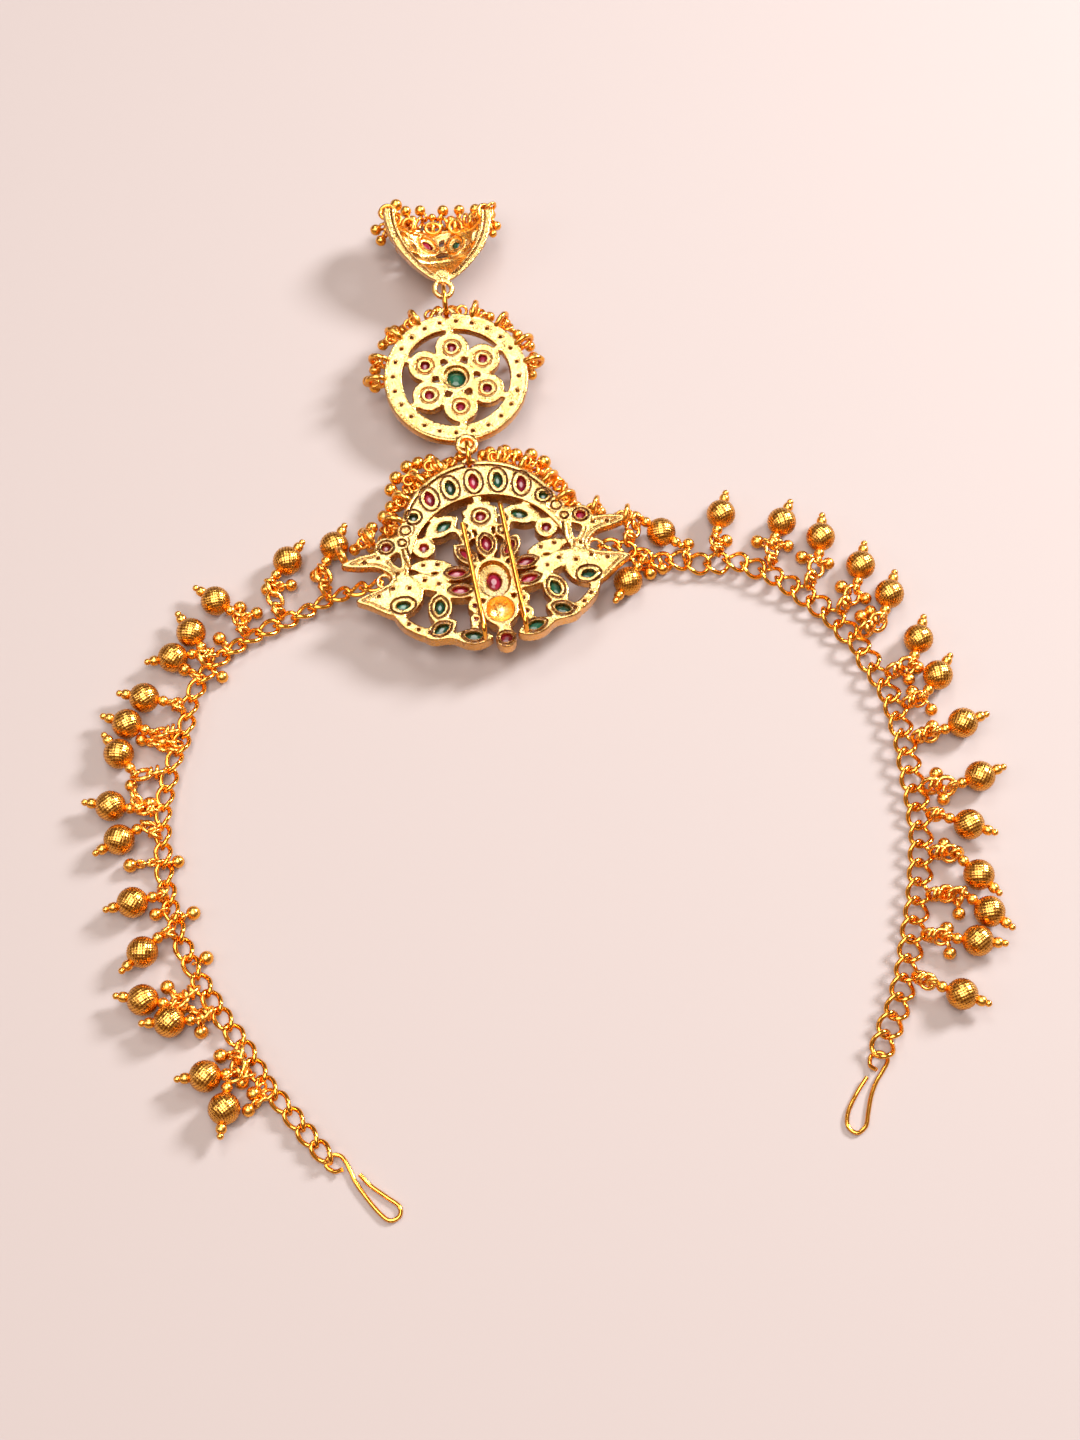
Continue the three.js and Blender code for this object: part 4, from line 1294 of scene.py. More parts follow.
print("stringing from", len(NUMBER), "kinds of findings")

# %% [markdown]
# ## The chains
# Each is a curb chain of thirty-seven equal links. The tree lays a smooth line through the
# route's points, steps along it by the pitch, and puts a link at each step, turned along the line.

# %% Tree: curb chain


def chain_tree():
    inputs = {
        "Link": "Object", "Pitch": "Float", "Lean": "Float", "Unevenness": "Float", "Sideways": "Float",
        "Seed": "Int", "Material": "Material",
    }
    tree, given, out = growing_tree("curb_chain", inputs)
    steps = smooth_curve(tree, given["Geometry"], given["Pitch"])
    along = add(tree, "GeometryNodeInputTangent").outputs[0]
    ahead = add(
        tree, "FunctionNodeAxesToRotation", {0: along, 1: (0.0, 0.0, 1.0)},
        primary_axis="X", secondary_axis="Z",
    ).outputs[0]
    most = given["Unevenness"]
    chance = add(
        tree, "FunctionNodeRandomValue",
        {"Min": math(tree, "MULTIPLY", most, -1.0), "Max": most, "Seed": given["Seed"]},
        data_type="FLOAT",
    )
    chance = live_socket(chance.outputs, "Value")
    lean = add(tree, "ShaderNodeCombineXYZ", {"X": math(tree, "ADD", given["Lean"], chance)}).outputs[0]
    lean = add(tree, "FunctionNodeEulerToRotation", {0: lean}).outputs[0]
    rotation = add(
        tree, "FunctionNodeRotateRotation", {0: ahead, 1: lean}, rotation_space="LOCAL",
    ).outputs[0]
    link = add(tree, "GeometryNodeObjectInfo", {"Object": given["Link"]}).outputs["Geometry"]
    links = add(
        tree, "GeometryNodeInstanceOnPoints", {"Points": steps, "Instance": link, "Rotation": rotation},
    ).outputs[0]
    shift = add(tree, "ShaderNodeCombineXYZ", {"Y": given["Sideways"]}).outputs[0]
    shifted = add(
        tree, "GeometryNodeTranslateInstances",
        {"Instances": links, "Translation": shift, "Local Space": True},
    ).outputs[0]
    return finished(tree, shifted, given["Material"], out)


CURB = chain_tree()
print("tree", CURB.name)

# %% [markdown]
# ### Laying the chains
# The routes run from the plaque's eyes to the hooks. A route's first points come down from the eye,
# and the rest lie at the height where the widest link just clears the surface. The two chains
# settled differently: the right one shows rounder links that lean the other way.

# %% Laying the chains
CHAIN_Z = 1.75


def laid(high, low):
    """A route: points with a height of their own, and then points at the chain's height."""
    return high + [(x, y, CHAIN_Z) for x, y in low]


LEFT_ROUTE = laid(
    [(-34.3, 27.2, 6.2), (-37.6, 27.4, 4.2), (-41, 27, 2.8), (-44.5, 25.8, 1.95)],
    [
        (-49.5, 22.8), (-56.5, 19.2), (-63, 14.6), (-67.5, 9.7), (-70.3, 3), (-71, -3.6), (-73, -11),
        (-74, -20), (-73.5, -28), (-72.4, -36), (-70, -44), (-67, -51), (-63.5, -57), (-59.5, -63),
        (-55, -69), (-51, -75.5), (-46.5, -80.5), (-42.5, -85.3), (-39.9, -88.2),
    ],
)
RIGHT_ROUTE = laid(
    [(14.1, 36.9, 6.2), (17.4, 37.6, 4.2), (20.5, 36.6, 2.8), (24, 36, 1.7)],
    [
        (28, 36.6), (34, 35.6), (40, 36.2), (46.5, 33.7), (53, 29.7), (59.5, 24.2), (65, 17.2),
        (69, 9.8), (72, 2.4), (73.3, -5), (74.3, -13), (75.2, -21), (75, -29), (74, -37),
        (72.5, -45), (70.8, -52), (68.5, -60), (64.95, -68.2),
    ],
)
LINK_HALF, LINK_WIRE = 2.5, 0.5
PITCH = 2 * (LINK_HALF - LINK_WIRE)
CHAINS = [
    # side, route, half-width of a link, how far it lies off the route, lean, seed
    ("left", LEFT_ROUTE, 1.6, 0.0, 0.35, 3),
    ("right", RIGHT_ROUTE, 2.2, -0.8, -0.2, 8),
]
for side, route, wide, sideways, lean, seed in CHAINS:
    link_mesh = ring_mesh("curb_link", LINK_HALF, wide, LINK_WIRE, twist=45, around=28)
    link = linked("curb_link", link_mesh)
    values = {
        "Link": link, "Pitch": PITCH, "Lean": lean, "Unevenness": 0.25, "Sideways": sideways, "Seed": seed,
        "Material": WIRE_GOLD,
    }
    mesh = grow("chain_" + side, line_mesh("route", route), CURB, values)
    mesh.transform(LAYOUT)
    put("curb_chain_" + side, mesh, WIRE_GOLD, "gold", ["chain_" + side])
    print("chain", side, triangles(mesh) // triangles(link_mesh), "links")
    bpy.data.objects.remove(link)

# %% [markdown]
# ## The drops
# A drop is a knurled bead on a head pin: a small ball as a collar, the bead, a tube and a tiny ball
# as the head. A loop behind the collar hangs on one or two jump rings, and the first of them goes
# through the chain. One or two plain balls hang beside it on loops of their own. The drops lie as
# they fell, so each has its own place and turn.

# %% The drops' places
LEFT_DROPS = [
    # x, y of the bead, turn, x and y of the link it hangs on
    (-42.7, 38.4, 68, -44, 27), (-52.2, 34.9, 57, -53, 21.5), (-66.5, 25.5, 145, -60, 17.5),
    (-71, 18.2, 125, -64.5, 13), (-74.3, 12.5, 191, -67.5, 10), (-79.4, 3.5, 169, -70.5, 0.5),
    (-82.4, -2.3, 161, -71, -3), (-83.5, -8.8, 129, -73, -12), (-84.2, -20, 172, -74, -20.5),
    (-81.9, -27.1, 213, -74, -27), (-78.3, -40.1, 196, -72.5, -37.5), (-75.6, -50.1, 226, -69, -47.5),
    (-74.8, -59.6, 171, -64, -56.5), (-69.5, -63.8, 184, -61.5, -60.5),
    (-62.1, -74.3, 186, -56.5, -67.5), (-58.2, -80.4, 266, -52.5, -73.5),
]
RIGHT_DROPS = [
    (25.2, 41.7, -38, 18.6, 45.6), (18.1, 30.1, 240, 21.5, 36), (37.8, 46.1, 77, 37, 36),
    (50.4, 44.2, 67, 48, 33.5), (58.3, 40.6, 83, 55, 29), (66.2, 33.9, 78, 61, 23.5),
    (71.7, 27.2, 74, 64.5, 18.5), (76.9, 16.8, 74, 69, 9.5), (80.2, 8.6, 57, 72, 2.5),
    (84.4, -2, 21, 73.3, -5), (86.8, -13.6, 22, 74.5, -15), (83.8, -23.9, -19, 75.2, -21),
    (84.8, -34.4, -46, 75, -29), (86.2, -41.9, -38, 74, -38), (83.5, -47.8, -6, 72.5, -46),
    (79.6, -58.4, -21, 70.5, -54),
]
LEFT_BALLS = [
    # x, y of the plain balls beside each drop
    [(-46.3, 32.2)], [(-56.2, 29), (-51.4, 30)], [(-61.6, 24.7), (-58.1, 23.5)], [(-65.4, 17.6)],
    [(-72, 10.6), (-64.3, 8.9)], [(-72.9, 2.9)], [], [(-76.5, -4.6), (-79.5, -5.1), (-75.2, -5.5)],
    [(-76.8, -18.9), (-80.8, -15)], [(-79.6, -31.9), (-70.4, -31.1)], [(-66.7, -41.7), (-73.9, -42)],
    [(-63.6, -50.8)], [(-70.6, -56.6)], [(-63.6, -65.3), (-67.3, -60.5)], [(-59.7, -70)],
    [(-53.1, -77.2), (-53.9, -80.3), (-55.4, -75)],
]
RIGHT_BALLS = [
    [], [(22.8, 32.8), (25.4, 33.9)], [(38.8, 40.5), (30.9, 39.7)], [(45.3, 40.3), (51.6, 39.3)],
    [(54.4, 36.6), (59.8, 35.1)], [(62.2, 29.6), (67, 26.9)], [(65.8, 22.7), (67.8, 23.9)],
    [(76.5, 11), (74.6, 8.4)], [(75.1, 5.5), (78.6, 1.6)], [(78.5, -2.2), (76.5, -3.5)],
    [(78.5, -12.5), (79.5, -17.9)], [], [(81.3, -29.2), (78.9, -27.4)], [(78.3, -37.2), (80.6, -41.8)],
    [(78, -44.9), (78.2, -49.8)], [],
]
print(len(LEFT_DROPS) + len(RIGHT_DROPS), "drops")

# %% [markdown]
# ### How a drop hangs
# Its rings run from the chain to the loop of its pin, in turn nearly on edge and nearly flat, as
# loose rings settle. A plain ball hangs from the nearest ring, or from the chain if that is nearer.

# %% How a drop hangs
COLLAR, TUBE, HEAD, LOOP = -3.95, 3.75, 5.15, -5.6  # along the pin from the bead's middle
BALL_Z = 1.5
FLAT_TILT, EDGE_TILT = 38, 66  # how the rings of a run stand, in turn


def spot(x, y, z):
    return Vector((x, y, z))


def ring_run(start, end, small=False):
    """Jump rings that reach from one place to another, every second one nearly on edge."""
    gap = end - start
    heading = degrees(atan2(gap.y, gap.x))
    finding, own, wire = ("ring", 1.2, 0.38) if small else ("big_ring", 1.7, 0.43)
    count = max(1, ceil(gap.length / (2.3 * own - 2 * wire)))
    radius = min(max(gap.length / (2 * count) + wire, 0.85 * own), 1.15 * own)
    rows = []
    for i in range(count):
        middle = start + gap * (i + 0.5) / count
        tilt = FLAT_TILT if i % 2 else EDGE_TILT
        middle.z = max(middle.z, radius * sin(radians(tilt)) + wire)
        rows.append((finding, middle, (-tilt if small else tilt, 0, heading), radius / own))
        if not small:
            between = start + gap * (i + 1) / count + spot(0, 0, 0.5)
            rows.append(("small_ring", between, (70, 0, heading + 65 - 40 * (i % 2)), 1.15))
    return rows


def ball_on_loop(ball, towards, radius):
    """A plain ball, its loop, and the rings that hold it, if it hangs far from them."""
    way = towards - ball
    heading = degrees(atan2(way.y, way.x))
    loop = ball + way.normalized() * (radius + 0.5)
    rows = [("ball", ball, (0, 0, heading), radius), ("small_ring", loop, (65, 0, heading), 1)]
    if way.length > radius + 2.2:
        rows += ring_run(loop + way.normalized() * 0.3, towards, small=True)
    return rows


def nearest_on(route, place):
    points = [Vector(point) for point in smooth_line(route, steps=16)]
    return min(points, key=lambda point: (point - place).xy.length)


def drop_rows(x, y, turn, link_place, balls, route):
    way = spot(cos(radians(turn)), sin(radians(turn)), 0)
    bead = spot(x, y, BEAD_R + 0.05)
    lying, upright = (0, 90, turn), (90, 0, turn)
    rows = [
        ("bead", bead, lying, 1),
        ("ball", bead + COLLAR * way, lying, 1.12),
        ("tube", bead + TUBE * way, lying, 1),
        ("ball", bead + HEAD * way, lying, 0.7),
        ("pin", bead, lying, (1, 1, 5)),
        ("small_ring", bead + LOOP * way, upright, 1.05),
        ("small_ring", bead + (LOOP + 0.35) * way, (90, 0, turn + 70), 0.7),
    ]
    hung = nearest_on(route, link_place)
    loop = bead + (LOOP - 0.4) * way
    start = hung + (loop - hung).normalized() * 1.3
    rings = ring_run(start, loop)
    rows += rings
    rows.append(("ring", rings[0][1] + spot(0, 0, 0.3), (80, 0, rings[0][2][2] + 75), 1))
    for i, (ball_x, ball_y) in enumerate(balls):
        radius = 1.42 - 0.12 * (i % 2)
        ball = spot(ball_x, ball_y, BALL_Z)
        anchors = [row[1] for row in rings] + [nearest_on(route, ball)]
        rows += ball_on_loop(ball, min(anchors, key=lambda place: (place - ball).length), radius)
    return rows


print("a drop's pin is", round(HEAD - LOOP, 2), "mm long")

# %% [markdown]
# Every drop is a piece of its own, because it stands for a CAD part of its own.

# %% Stringing the drops
for side, drops, sides_balls, route in (
    ("left", LEFT_DROPS, LEFT_BALLS, LEFT_ROUTE), ("right", RIGHT_DROPS, RIGHT_BALLS, RIGHT_ROUTE),
):
    for number, ((x, y, turn, link_x, link_y), balls) in enumerate(zip(drops, sides_balls), 1):
        rows = drop_rows(x, y, turn, spot(link_x, link_y, CHAIN_Z), balls, route)
        name = f"bead_drop_{side}_{number:02}"
        mesh = strung(name, rows, Matrix(), BEAD_GOLD)
        put(name, mesh, BEAD_GOLD, "bead_gold", [f"drop_{side}_{number:02}"])
    print(side, "drops:", len(drops), "the last with", triangles(mesh), "triangles")

# %% [markdown]
# ## The fringes
# Plain balls hang in front of the castings on jump rings that go through the castings' edges. From
# behind, the rings stand on edge over the rim, and the balls crowd beyond it. Places are in each
# casting's own frame.

# %% Fringe tools


def edge_ring(x, y, z, heading, size):
    return ("big_ring", spot(x, y, z), (90, 0, heading), size)


def hanging(balls, rings):
    """Balls (x, y, z, radius) on loops, each towards its nearest jump ring."""
    rows = []
    for x, y, z, radius in balls:
        ball = spot(x, y, z)
        holder = min((row[1] for row in rings), key=lambda place: (place - ball).length)
        way = holder - ball
        heading = degrees(atan2(way.y, way.x))
        rows += [("ball", ball, (0, 0, heading), radius)]
        rows += [("small_ring", ball + way.normalized() * (radius + 0.5), (75, 0, heading), 1)]
        if way.length > radius + 2.2:
            rows += [("ring", ball + way.normalized() * (radius + 1.9), (25, 20, heading), 0.85)]
    return rows


def round_rim(angles, cx, cy, reach, z, size):
    """Jump rings over a round rim; angles are from +y, and the rings stand in line with the middle."""
    rows = []
    for angle in angles:
        x, y = cx + reach * sin(radians(angle)), cy + reach * cos(radians(angle))
        rows.append(edge_ring(x, y, z, 90 - angle, size))
    return rows


def loose_rings(angles, cx, cy, reach, z):
    """Jump rings that lie over each other along a round rim, each tipped another way."""
    rows = []
    for i, angle in enumerate(angles):
        x, y = cx + reach * sin(radians(angle)), cy + reach * cos(radians(angle))
        tip = (35 + 25 * (i % 3), 20 * (i % 2), 90 - angle + 35 * (i % 2))
        rows.append(("ring", spot(x, y, z + 0.6 * (i % 3)), tip, 1))
    return rows


print("fringe tools are ready")

# %% [markdown]
# ### On the arch
# The densest fringe: under each edge ring hang several balls, and loose rings lie over each other
# along the rim. Left and right are two pieces, as they are two parts of the CAD model.

# %% Fringe of the arch
ARCH_RINGS = {"left": [-19.5, -35.5, -52.5, -69.5], "right": [20, 36.5, 56, 72.5]}
TAIL_RINGS = {
    # x, y, heading
    "left": [(-23.5, 6.6, 112), (-29.4, 3.4, 110)],
    "right": [(23.8, 5.2, 62), (29.7, 1.9, 69)],
}
ARCH_BALLS = {
    "left": [
        (-3.2, 22.7, 5, 1.25), (-4.7, 22.7, 4.6, 1.25), (-1.3, 23.8, 5, 1.2), (-7.6, 24.3, 5, 1.3),
        (-10.2, 24, 5, 1.4), (-12.7, 23.5, 5, 1.45), (-15.4, 21.3, 5, 1.45), (-16.9, 18.6, 5, 1.45),
        (-17.6, 14.6, 5, 1.3), (-19.4, 12.5, 5, 1.4), (-22.3, 10.4, 5, 1.3), (-24.2, 9.8, 4.4, 1.25),
        (-20.4, 8.4, 2.6, 1.3), (-26.6, 7, 3.2, 1.25), (-9.4, 21.4, 2.4, 1.4), (-13.2, 19.4, 2, 1.4),
        (-6.2, 21.8, 2, 1.4), (-16, 16.4, 2, 1.4), (-18.4, 10.6, 1.8, 1.3), (-23, 7.6, 1.8, 1.3),
    ],
    "right": [
        (3.5, 23.3, 5, 1.25), (5.1, 23.8, 4.8, 1.3), (8.3, 23.4, 5, 1.4), (10.4, 22, 5, 1.45),
        (13.5, 21.4, 5, 1.45), (15.8, 19.1, 5, 1.5), (17.6, 15.6, 2.6, 1.4), (19.4, 12, 2.4, 1.4),
        (20.6, 8.6, 2.4, 1.3), (25.2, 6, 3, 1.3), (31, 3.6, 3.4, 1.25), (6.6, 21.4, 2, 1.4),
        (11.6, 19, 1.9, 1.4), (14.6, 16.8, 1.9, 1.4), (18.2, 9.4, 1.7, 1.3), (23, 7.2, 1.7, 1.3),
        (28.6, 4.6, 2, 1.25),
    ],
}
for side, sign in (("left", -1), ("right", 1)):
    rings = round_rim(ARCH_RINGS[side], 0, 2.5, 18.9, 7.6, 1.2)
    rings += [edge_ring(x, y, 7.4, heading, 1.1) for x, y, heading in TAIL_RINGS[side]]
    loose = loose_rings([sign * angle for angle in range(10, 74, 5)], 0, 2.5, 20.6, 4.6)
    mesh = strung("fringe_arch", rings + loose + hanging(ARCH_BALLS[side], rings), PLAQUE_SEAT, BEAD_GOLD)
    put("arch_fringe_" + side, mesh, BEAD_GOLD, "gold", ["fringe_arch_" + side])
    print("arch fringe", side, triangles(mesh), "triangles")

# %% [markdown]
# ### On the disc
# Smaller balls, which hang down past the disc's edge, so that from above they show beside it.

# %% Fringe of the disc
DISC_RINGS = {"left": [-24, -44, -67, -84], "right": [21, 42.5, 66, 84]}
DISC_BALLS = {
    "left": [
        (-17.3, 2, -3.8, 1.3), (-16.8, 6.3, -4.2, 1.3), (-14.4, 12.4, -4.7, 1.2), (-18.6, 4, -4.6, 1.25),
        (-16.8, 9.4, -4.8, 1.2), (-11.4, 15.6, -4.6, 1.2), (-7.6, 17, -4.4, 1.2), (-9.6, 16.4, -6.2, 1.2),
        (-1.5, 19.4, -5.2, 1.15),
    ],
    "right": [
        (16.1, 2.7, -3.9, 1.1), (17.4, 4.6, -4.2, 1.25), (17, 7.6, -4.6, 1.2), (14.8, 10.8, -4.6, 1.2),
        (12.6, 14, -4.8, 1.25), (9.4, 16, -4.6, 1.2), (6.6, 17.6, -4.4, 1.2), (16.4, 0.6, -4.4, 1.2),
        (1.6, 19.2, -5.2, 1.15),
    ],
}
for side in ("left", "right"):
    rings = round_rim(DISC_RINGS[side], 0, 0, 16.9, -1.2, 1.2)
    mesh = strung("fringe_disc", rings + hanging(DISC_BALLS[side], rings), DISC_SEAT, BEAD_GOLD)
    put("disc_fringe_" + side, mesh, BEAD_GOLD, "gold", ["fringe_disc_" + side])
    print("disc fringe", side, triangles(mesh), "triangles")

# %% [markdown]
# ### In the bell's mouth
# The rings go through the mouth's rim all round the half circle, and balls and more rings lie in
# the mouth as they fell.

# %% Fringe of the bell
MOUTH_RINGS = [-75, -52, -28, 0, 30, 55, 78]
MOUTH_BALLS = [
    (-8.5, 20.3, -4.5, 1.35), (-2.5, 22, -10.1, 1.25), (2.6, 21.8, -9.7, 1.3), (6.2, 21.7, -9.2, 1.25),
    (0, 20, -9.5, 0.9), (-12.9, 16.3, -8.4, 1.25), (-12, 13.3, -7.7, 1.2), (13.3, 14.5, -3, 1.05),
    (12.3, 12.5, -2.8, 0.9), (-6, 20.8, -8.2, 1.25), (9.4, 20.4, -6.4, 1.25), (-11.4, 18.6, -5, 1.25),
    (12.4, 18, -4.4, 1.2), (-4.4, 19.8, -10.6, 1.2), (4.4, 19.8, -10.6, 1.2),
]
SHOWN_RINGS = [
    ("ring", spot(-5.4, 17.4, -8.4), (18, -8, 20), 1.2),
    ("ring", spot(-3, 18.6, -9.6), (70, 0, 50), 1),
    ("ring", spot(2.6, 18.7, -9.8), (75, 0, -60), 1),
    ("ring", spot(7.4, 18.4, -7.6), (60, 10, 75), 1.05),
    ("ring", spot(-8.2, 18.2, -6.6), (65, 0, 100), 1.05),
    ("ring", spot(10.6, 17.9, -3.6), (20, 35, 0), 1),
    ("oval_ring", spot(0, 17.2, -9.3), (12, 0, 0), 1),
    ("ring", spot(5, 17.2, -8.4), (16, 8, -20), 1.2),
    ("ring", spot(8.3, 16.9, -5.8), (70, 0, 60), 1),
    ("ring", spot(-9.8, 18, -4), (60, 0, -60), 1),
    ("ring", spot(12, 18.2, -1.5), (80, 0, 30), 1),
]
rings = []
for angle in MOUTH_RINGS:
    x, z = 11.1 * sin(radians(angle)), -10.8 * cos(radians(angle))
    rings.append(("big_ring", spot(x, 17.6, z), (0, 90 - angle, 0), 0.95))
mesh = strung("fringe_bell", rings + SHOWN_RINGS + hanging(MOUTH_BALLS, rings), BELL_SEAT, BEAD_GOLD)
put("bell_fringe", mesh, BEAD_GOLD, "gold", ["fringe_bell"])
print("bell fringe", triangles(mesh), "triangles")

# %% [markdown]
# ## Wire work
# The hooks, the two hair pins and the two link rings are bent from drawn wire. One tree draws a
# wire of any gauge along a line; the gauge may change along it, so that a pin has a tapered tip.

# %% Tree: drawn wire


def wire_tree():
    inputs = {"Gauge": "Float", "Step": "Float", "Sides": "Int", "Material": "Material"}
    tree, given, out = growing_tree("drawn_wire", inputs)
    steps = smooth_curve(tree, given["Geometry"], given["Step"])
    thick = add(
        tree, "GeometryNodeSetCurveRadius", {"Curve": steps, "Radius": named(tree, "thick", "FLOAT")},
    ).outputs[0]
    profile = add(
        tree, "GeometryNodeCurvePrimitiveCircle",
        {"Resolution": given["Sides"], "Radius": math(tree, "MULTIPLY", given["Gauge"], 0.5)},
    ).outputs[0]
    wire = add(
        tree, "GeometryNodeCurveToMesh", {"Curve": thick, "Profile Curve": profile, "Fill Caps": True},
    ).outputs[0]
    return finished(tree, wire, given["Material"], out)


DRAWN = wire_tree()


def drawn(name, points, gauge, place, closed=False, thick=None, step=0.35, sides=12):
    line = line_mesh(name, points, closed)
    line.attributes.new("thick", "FLOAT", "POINT").data.foreach_set("value", thick or [1] * len(points))
    mesh = grow(name, line, DRAWN, {"Gauge": gauge, "Step": step, "Sides": sides, "Material": WIRE_GOLD})
    mesh.transform(LAYOUT @ place)
    return mesh


print("tree", DRAWN.name)

# %% [markdown]
# ### The hooks
# Each hook is one wire, bent back on itself. It starts as an eye round the chain's last link, and
# its two legs run side by side to a rounded end. It lies flat, so only its ends rise.

# %% Hooks
LEFT_HOOK = [
    (-36.2, -91.3, 1.4), (-37.6, -91.5, 0.6), (-39.2, -90.4, 0.5), (-38.6, -88.6, 0.5),
    (-36.6, -88.6, 0.5), (-35.1, -90.6, 0.5), (-33.7, -93.4, 0.5), (-31.8, -96, 0.5),
    (-29.2, -99, 0.5), (-27.2, -100.4, 0.5), (-25.5, -99.6, 0.5), (-25.6, -97.8, 0.5),
    (-28, -96.1, 0.5), (-31, -94, 0.5), (-33, -92.1, 1.2),
]
RIGHT_HOOK = [
    (62.7, -72.6, 1.5), (61.7, -71.5, 0.7), (62.1, -69.6, 0.5), (63.9, -69, 0.5), (65.1, -70.4, 0.5),
    (64, -72.6, 0.5), (62.7, -74.6, 0.5), (61.6, -77.2, 0.5), (60.8, -80.5, 0.5), (60.2, -83, 0.5),
    (58.5, -84.3, 0.5), (56.9, -83, 0.5), (57.1, -80.4, 0.5), (58.8, -77, 0.5), (60.9, -73.9, 1.2),
]
for side, points in (("left", LEFT_HOOK), ("right", RIGHT_HOOK)):
    mesh = drawn("wire_hook_" + side, points, 0.85, Matrix())
    put("wire_hook_" + side, mesh, WIRE_GOLD, "gold", ["hook_" + side])
    print("hook", side, triangles(mesh), "triangles")

# %% [markdown]
# ### The hair pins
# Two straight wires are soldered to the plaque's lower rim. They rise from it, run level over the
# back and end in a tapered tip, so that hair can be pushed between pin and plate.

# %% Hair pins
PIN_X, PIN_FOOT, PIN_Z = 4.2, -21.4, 11.9
for side, sign, end in (("left", -1, 3.8), ("right", 1, 6.8)):
    line = [
        # y, z, thickness
        (PIN_FOOT, BACK - 0.6, 1.25), (PIN_FOOT + 0.3, 10.6, 1.15), (PIN_FOOT + 2.4, PIN_Z, 1.05),
        (-8, PIN_Z, 1), (end - 1.2, PIN_Z, 0.95), (end, PIN_Z, 0.55),
    ]
    points = [(sign * PIN_X, y, z) for y, z, _ in line]
    mesh = drawn("hair_pin_" + side, points, 1.0, PLAQUE_SEAT, thick=[row[2] for row in line])
    put("hair_pin_" + side, mesh, WIRE_GOLD, "gold")
    print("hair pin", side, round(end - PIN_FOOT, 1), "mm long")

# %% [markdown]
# ### The link rings
# Each joins two castings by their lugs and eyes. It stands upright on the line between the two
# holes, as a ring does that is pulled straight.

# %% Link rings
LINKS = {
    # the two holes that each ring joins, in the castings' own frames
    "bell": (DISC_SEAT @ Vector((0, DISC_LUG + 0.2, -0.8)), BELL_SEAT @ Vector(BELL_EYE)),
    "disc": (PLAQUE_SEAT @ Vector((0, PLAQUE_LUG, 8.2)), DISC_SEAT @ Vector(DISC_EYE)),
}
for name, (start, end) in LINKS.items():
    middle, half = (start + end) / 2, (end - start) / 2
    upright = half.cross(Vector((0, 0, 1))).cross(half).normalized() * half.length
    angles = [2 * pi * i / 20 for i in range(20)]
    points = [middle + cos(a) * half + sin(a) * upright for a in angles]
    mesh = drawn("link_ring_" + name, points, 1.0, Matrix(), closed=True)
    put("link_ring_" + name, mesh, WIRE_GOLD, "gold", ["link_" + name])
    print("link ring", name, "radius", round(half.length, 2))

# %% [markdown]
# The findings were only patterns to copy, so they are taken away now.

# %% Clearing the bench
for spare in tray.objects[:]:
    bpy.data.objects.remove(spare)
bpy.data.collections.remove(tray)
print("findings cleared away")

# %% [markdown]
# ## Floor and light
# A warm pale floor and four soft lights. Polished metal shows what it reflects, so the lights are
# large, and between them the surroundings stay darker, which gives the gold its deep tones.

# %% Floor
BACKDROP = (0.78, 0.68, 0.65, 1)
LIT_REACH, FAR_REACH = 0.26, 0.6  # from the middle, in metres
FLOOR_EDGE = 6


def floor_material():
    """Pale and matt. Past the lit part it fades to the backdrop's colour, for the camera only."""
    material, tree, shader = new_material("pale_floor")
    shader.inputs["Base Color"].default_value = (0.45, 0.405, 0.41, 1)
    shader.inputs["Roughness"].default_value = 0.75
    reach = add(tree, "ShaderNodeVectorMath", {0: own_place(tree)}, operation="LENGTH").outputs["Value"]
    far = ranged(tree, reach, LIT_REACH, FAR_REACH, interpolation_type="SMOOTHSTEP")
    seen = add(tree, "ShaderNodeLightPath").outputs["Is Camera Ray"]
    glow = add(tree, "ShaderNodeEmission", {"Color": BACKDROP}).outputs[0]
    share = math(tree, "MULTIPLY", far, seen)
    mixed = add(tree, "ShaderNodeMixShader", {0: share, 1: shader.outputs[0], 2: glow}).outputs[0]
    tree.links.new(mixed, tree.nodes["Material Output"].inputs["Surface"])
    return material


corners = [(x * FLOOR_EDGE, y * FLOOR_EDGE, 0) for x, y in ((-1, -1), (1, -1), (1, 1), (-1, 1))]
floor_mesh = plain_mesh("floor", corners, [(0, 1, 2, 3)])
floor_mesh.materials.append(floor_material())
linked("floor", floor_mesh)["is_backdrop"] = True
print("floor laid")

# %% [markdown]
# ### The lights
# The key light comes from the right and makes the long soft shadows. A wide one above fills them.
# One from beyond the piece is what the castings' flat backs mirror, and a small one on the left
# gives the wire its second highlight.

# %% Lights


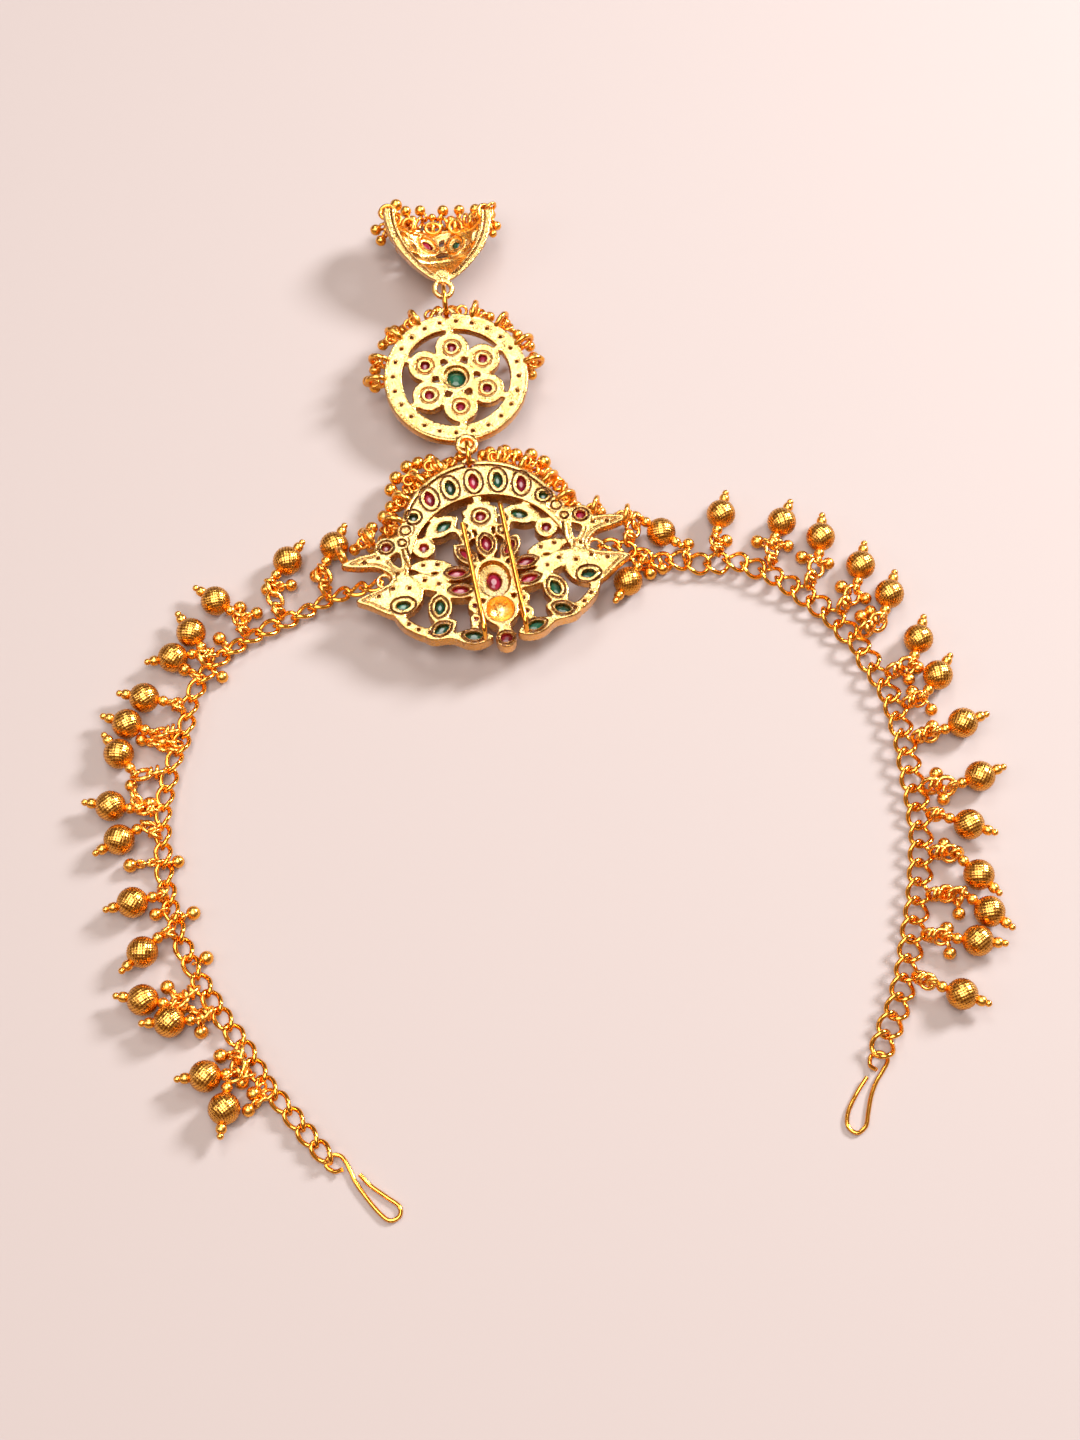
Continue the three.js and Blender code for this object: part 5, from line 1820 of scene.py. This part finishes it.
def softbox(name, place, aim, size, power, colour):
    """A round area light, in metres and watts, turned to what it lights."""
    light = bpy.data.lights.new(name, "AREA")
    light.shape = "DISK"
    light.size, light.energy, light.color = size, power, colour
    lamp = linked(name, light)
    lamp.location = place
    lamp.rotation_euler = (Vector(aim) - Vector(place)).to_track_quat("-Z", "Y").to_euler()


softbox("key", (0.75, 0.5, 0.62), (0, 0, 0), 0.3, 16, (1, 0.98, 0.96))
softbox("above", (-0.1, -0.22, 1.0), (-0.05, -0.1, 0), 0.8, 9, (1, 0.91, 0.84))
softbox("north", (-0.18, 0.72, 1.1), (0, 0, 0), 0.4, 3.4, (1, 0.97, 0.92))
softbox("west", (-1.0, -0.2, 0.7), (0, 0, 0), 0.4, 1.5, (1, 0.97, 0.94))
print("four lights set")

# %% [markdown]
# ### The surroundings
# The lights stand in a warm room, brown at the horizon and paler above. Polished metal shows it
# between the lights. The camera itself sees the plain backdrop instead.

# %% Surroundings
HORIZON, ZENITH = (0.36, 0.16, 0.07, 1), (0.85, 0.6, 0.42, 1)
ROOM_STRENGTH = 0.42
world = bpy.data.worlds.new("studio")
bpy.context.scene.world = world
world.use_nodes = True
tree = world.node_tree
direction = add(tree, "ShaderNodeTexCoord").outputs["Generated"]
height = add(tree, "ShaderNodeSeparateXYZ", {0: direction}).outputs["Z"]
room = tree.nodes["Background"]
tree.links.new(tinted(tree, ranged(tree, height, 0.25, 0.9), HORIZON, ZENITH), room.inputs["Color"])
room.inputs["Strength"].default_value = ROOM_STRENGTH
backdrop = add(tree, "ShaderNodeBackground", {"Color": BACKDROP}).outputs[0]
seen = add(tree, "ShaderNodeLightPath").outputs["Is Camera Ray"]
studio = add(tree, "ShaderNodeMixShader", {0: seen, 1: room.outputs[0], 2: backdrop}).outputs[0]
tree.links.new(studio, tree.nodes["World Output"].inputs["Surface"])
bpy.context.scene.view_settings.view_transform = "Standard"
print("surroundings set")

# %% Finish
bpy.context.view_layer.update()
boxes = {"cad": CAD_BOX, "visual": [list(corner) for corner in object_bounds()]}
print("visual box in mm:", [[round(v / MM, 1) for v in corner] for corner in boxes["visual"]])
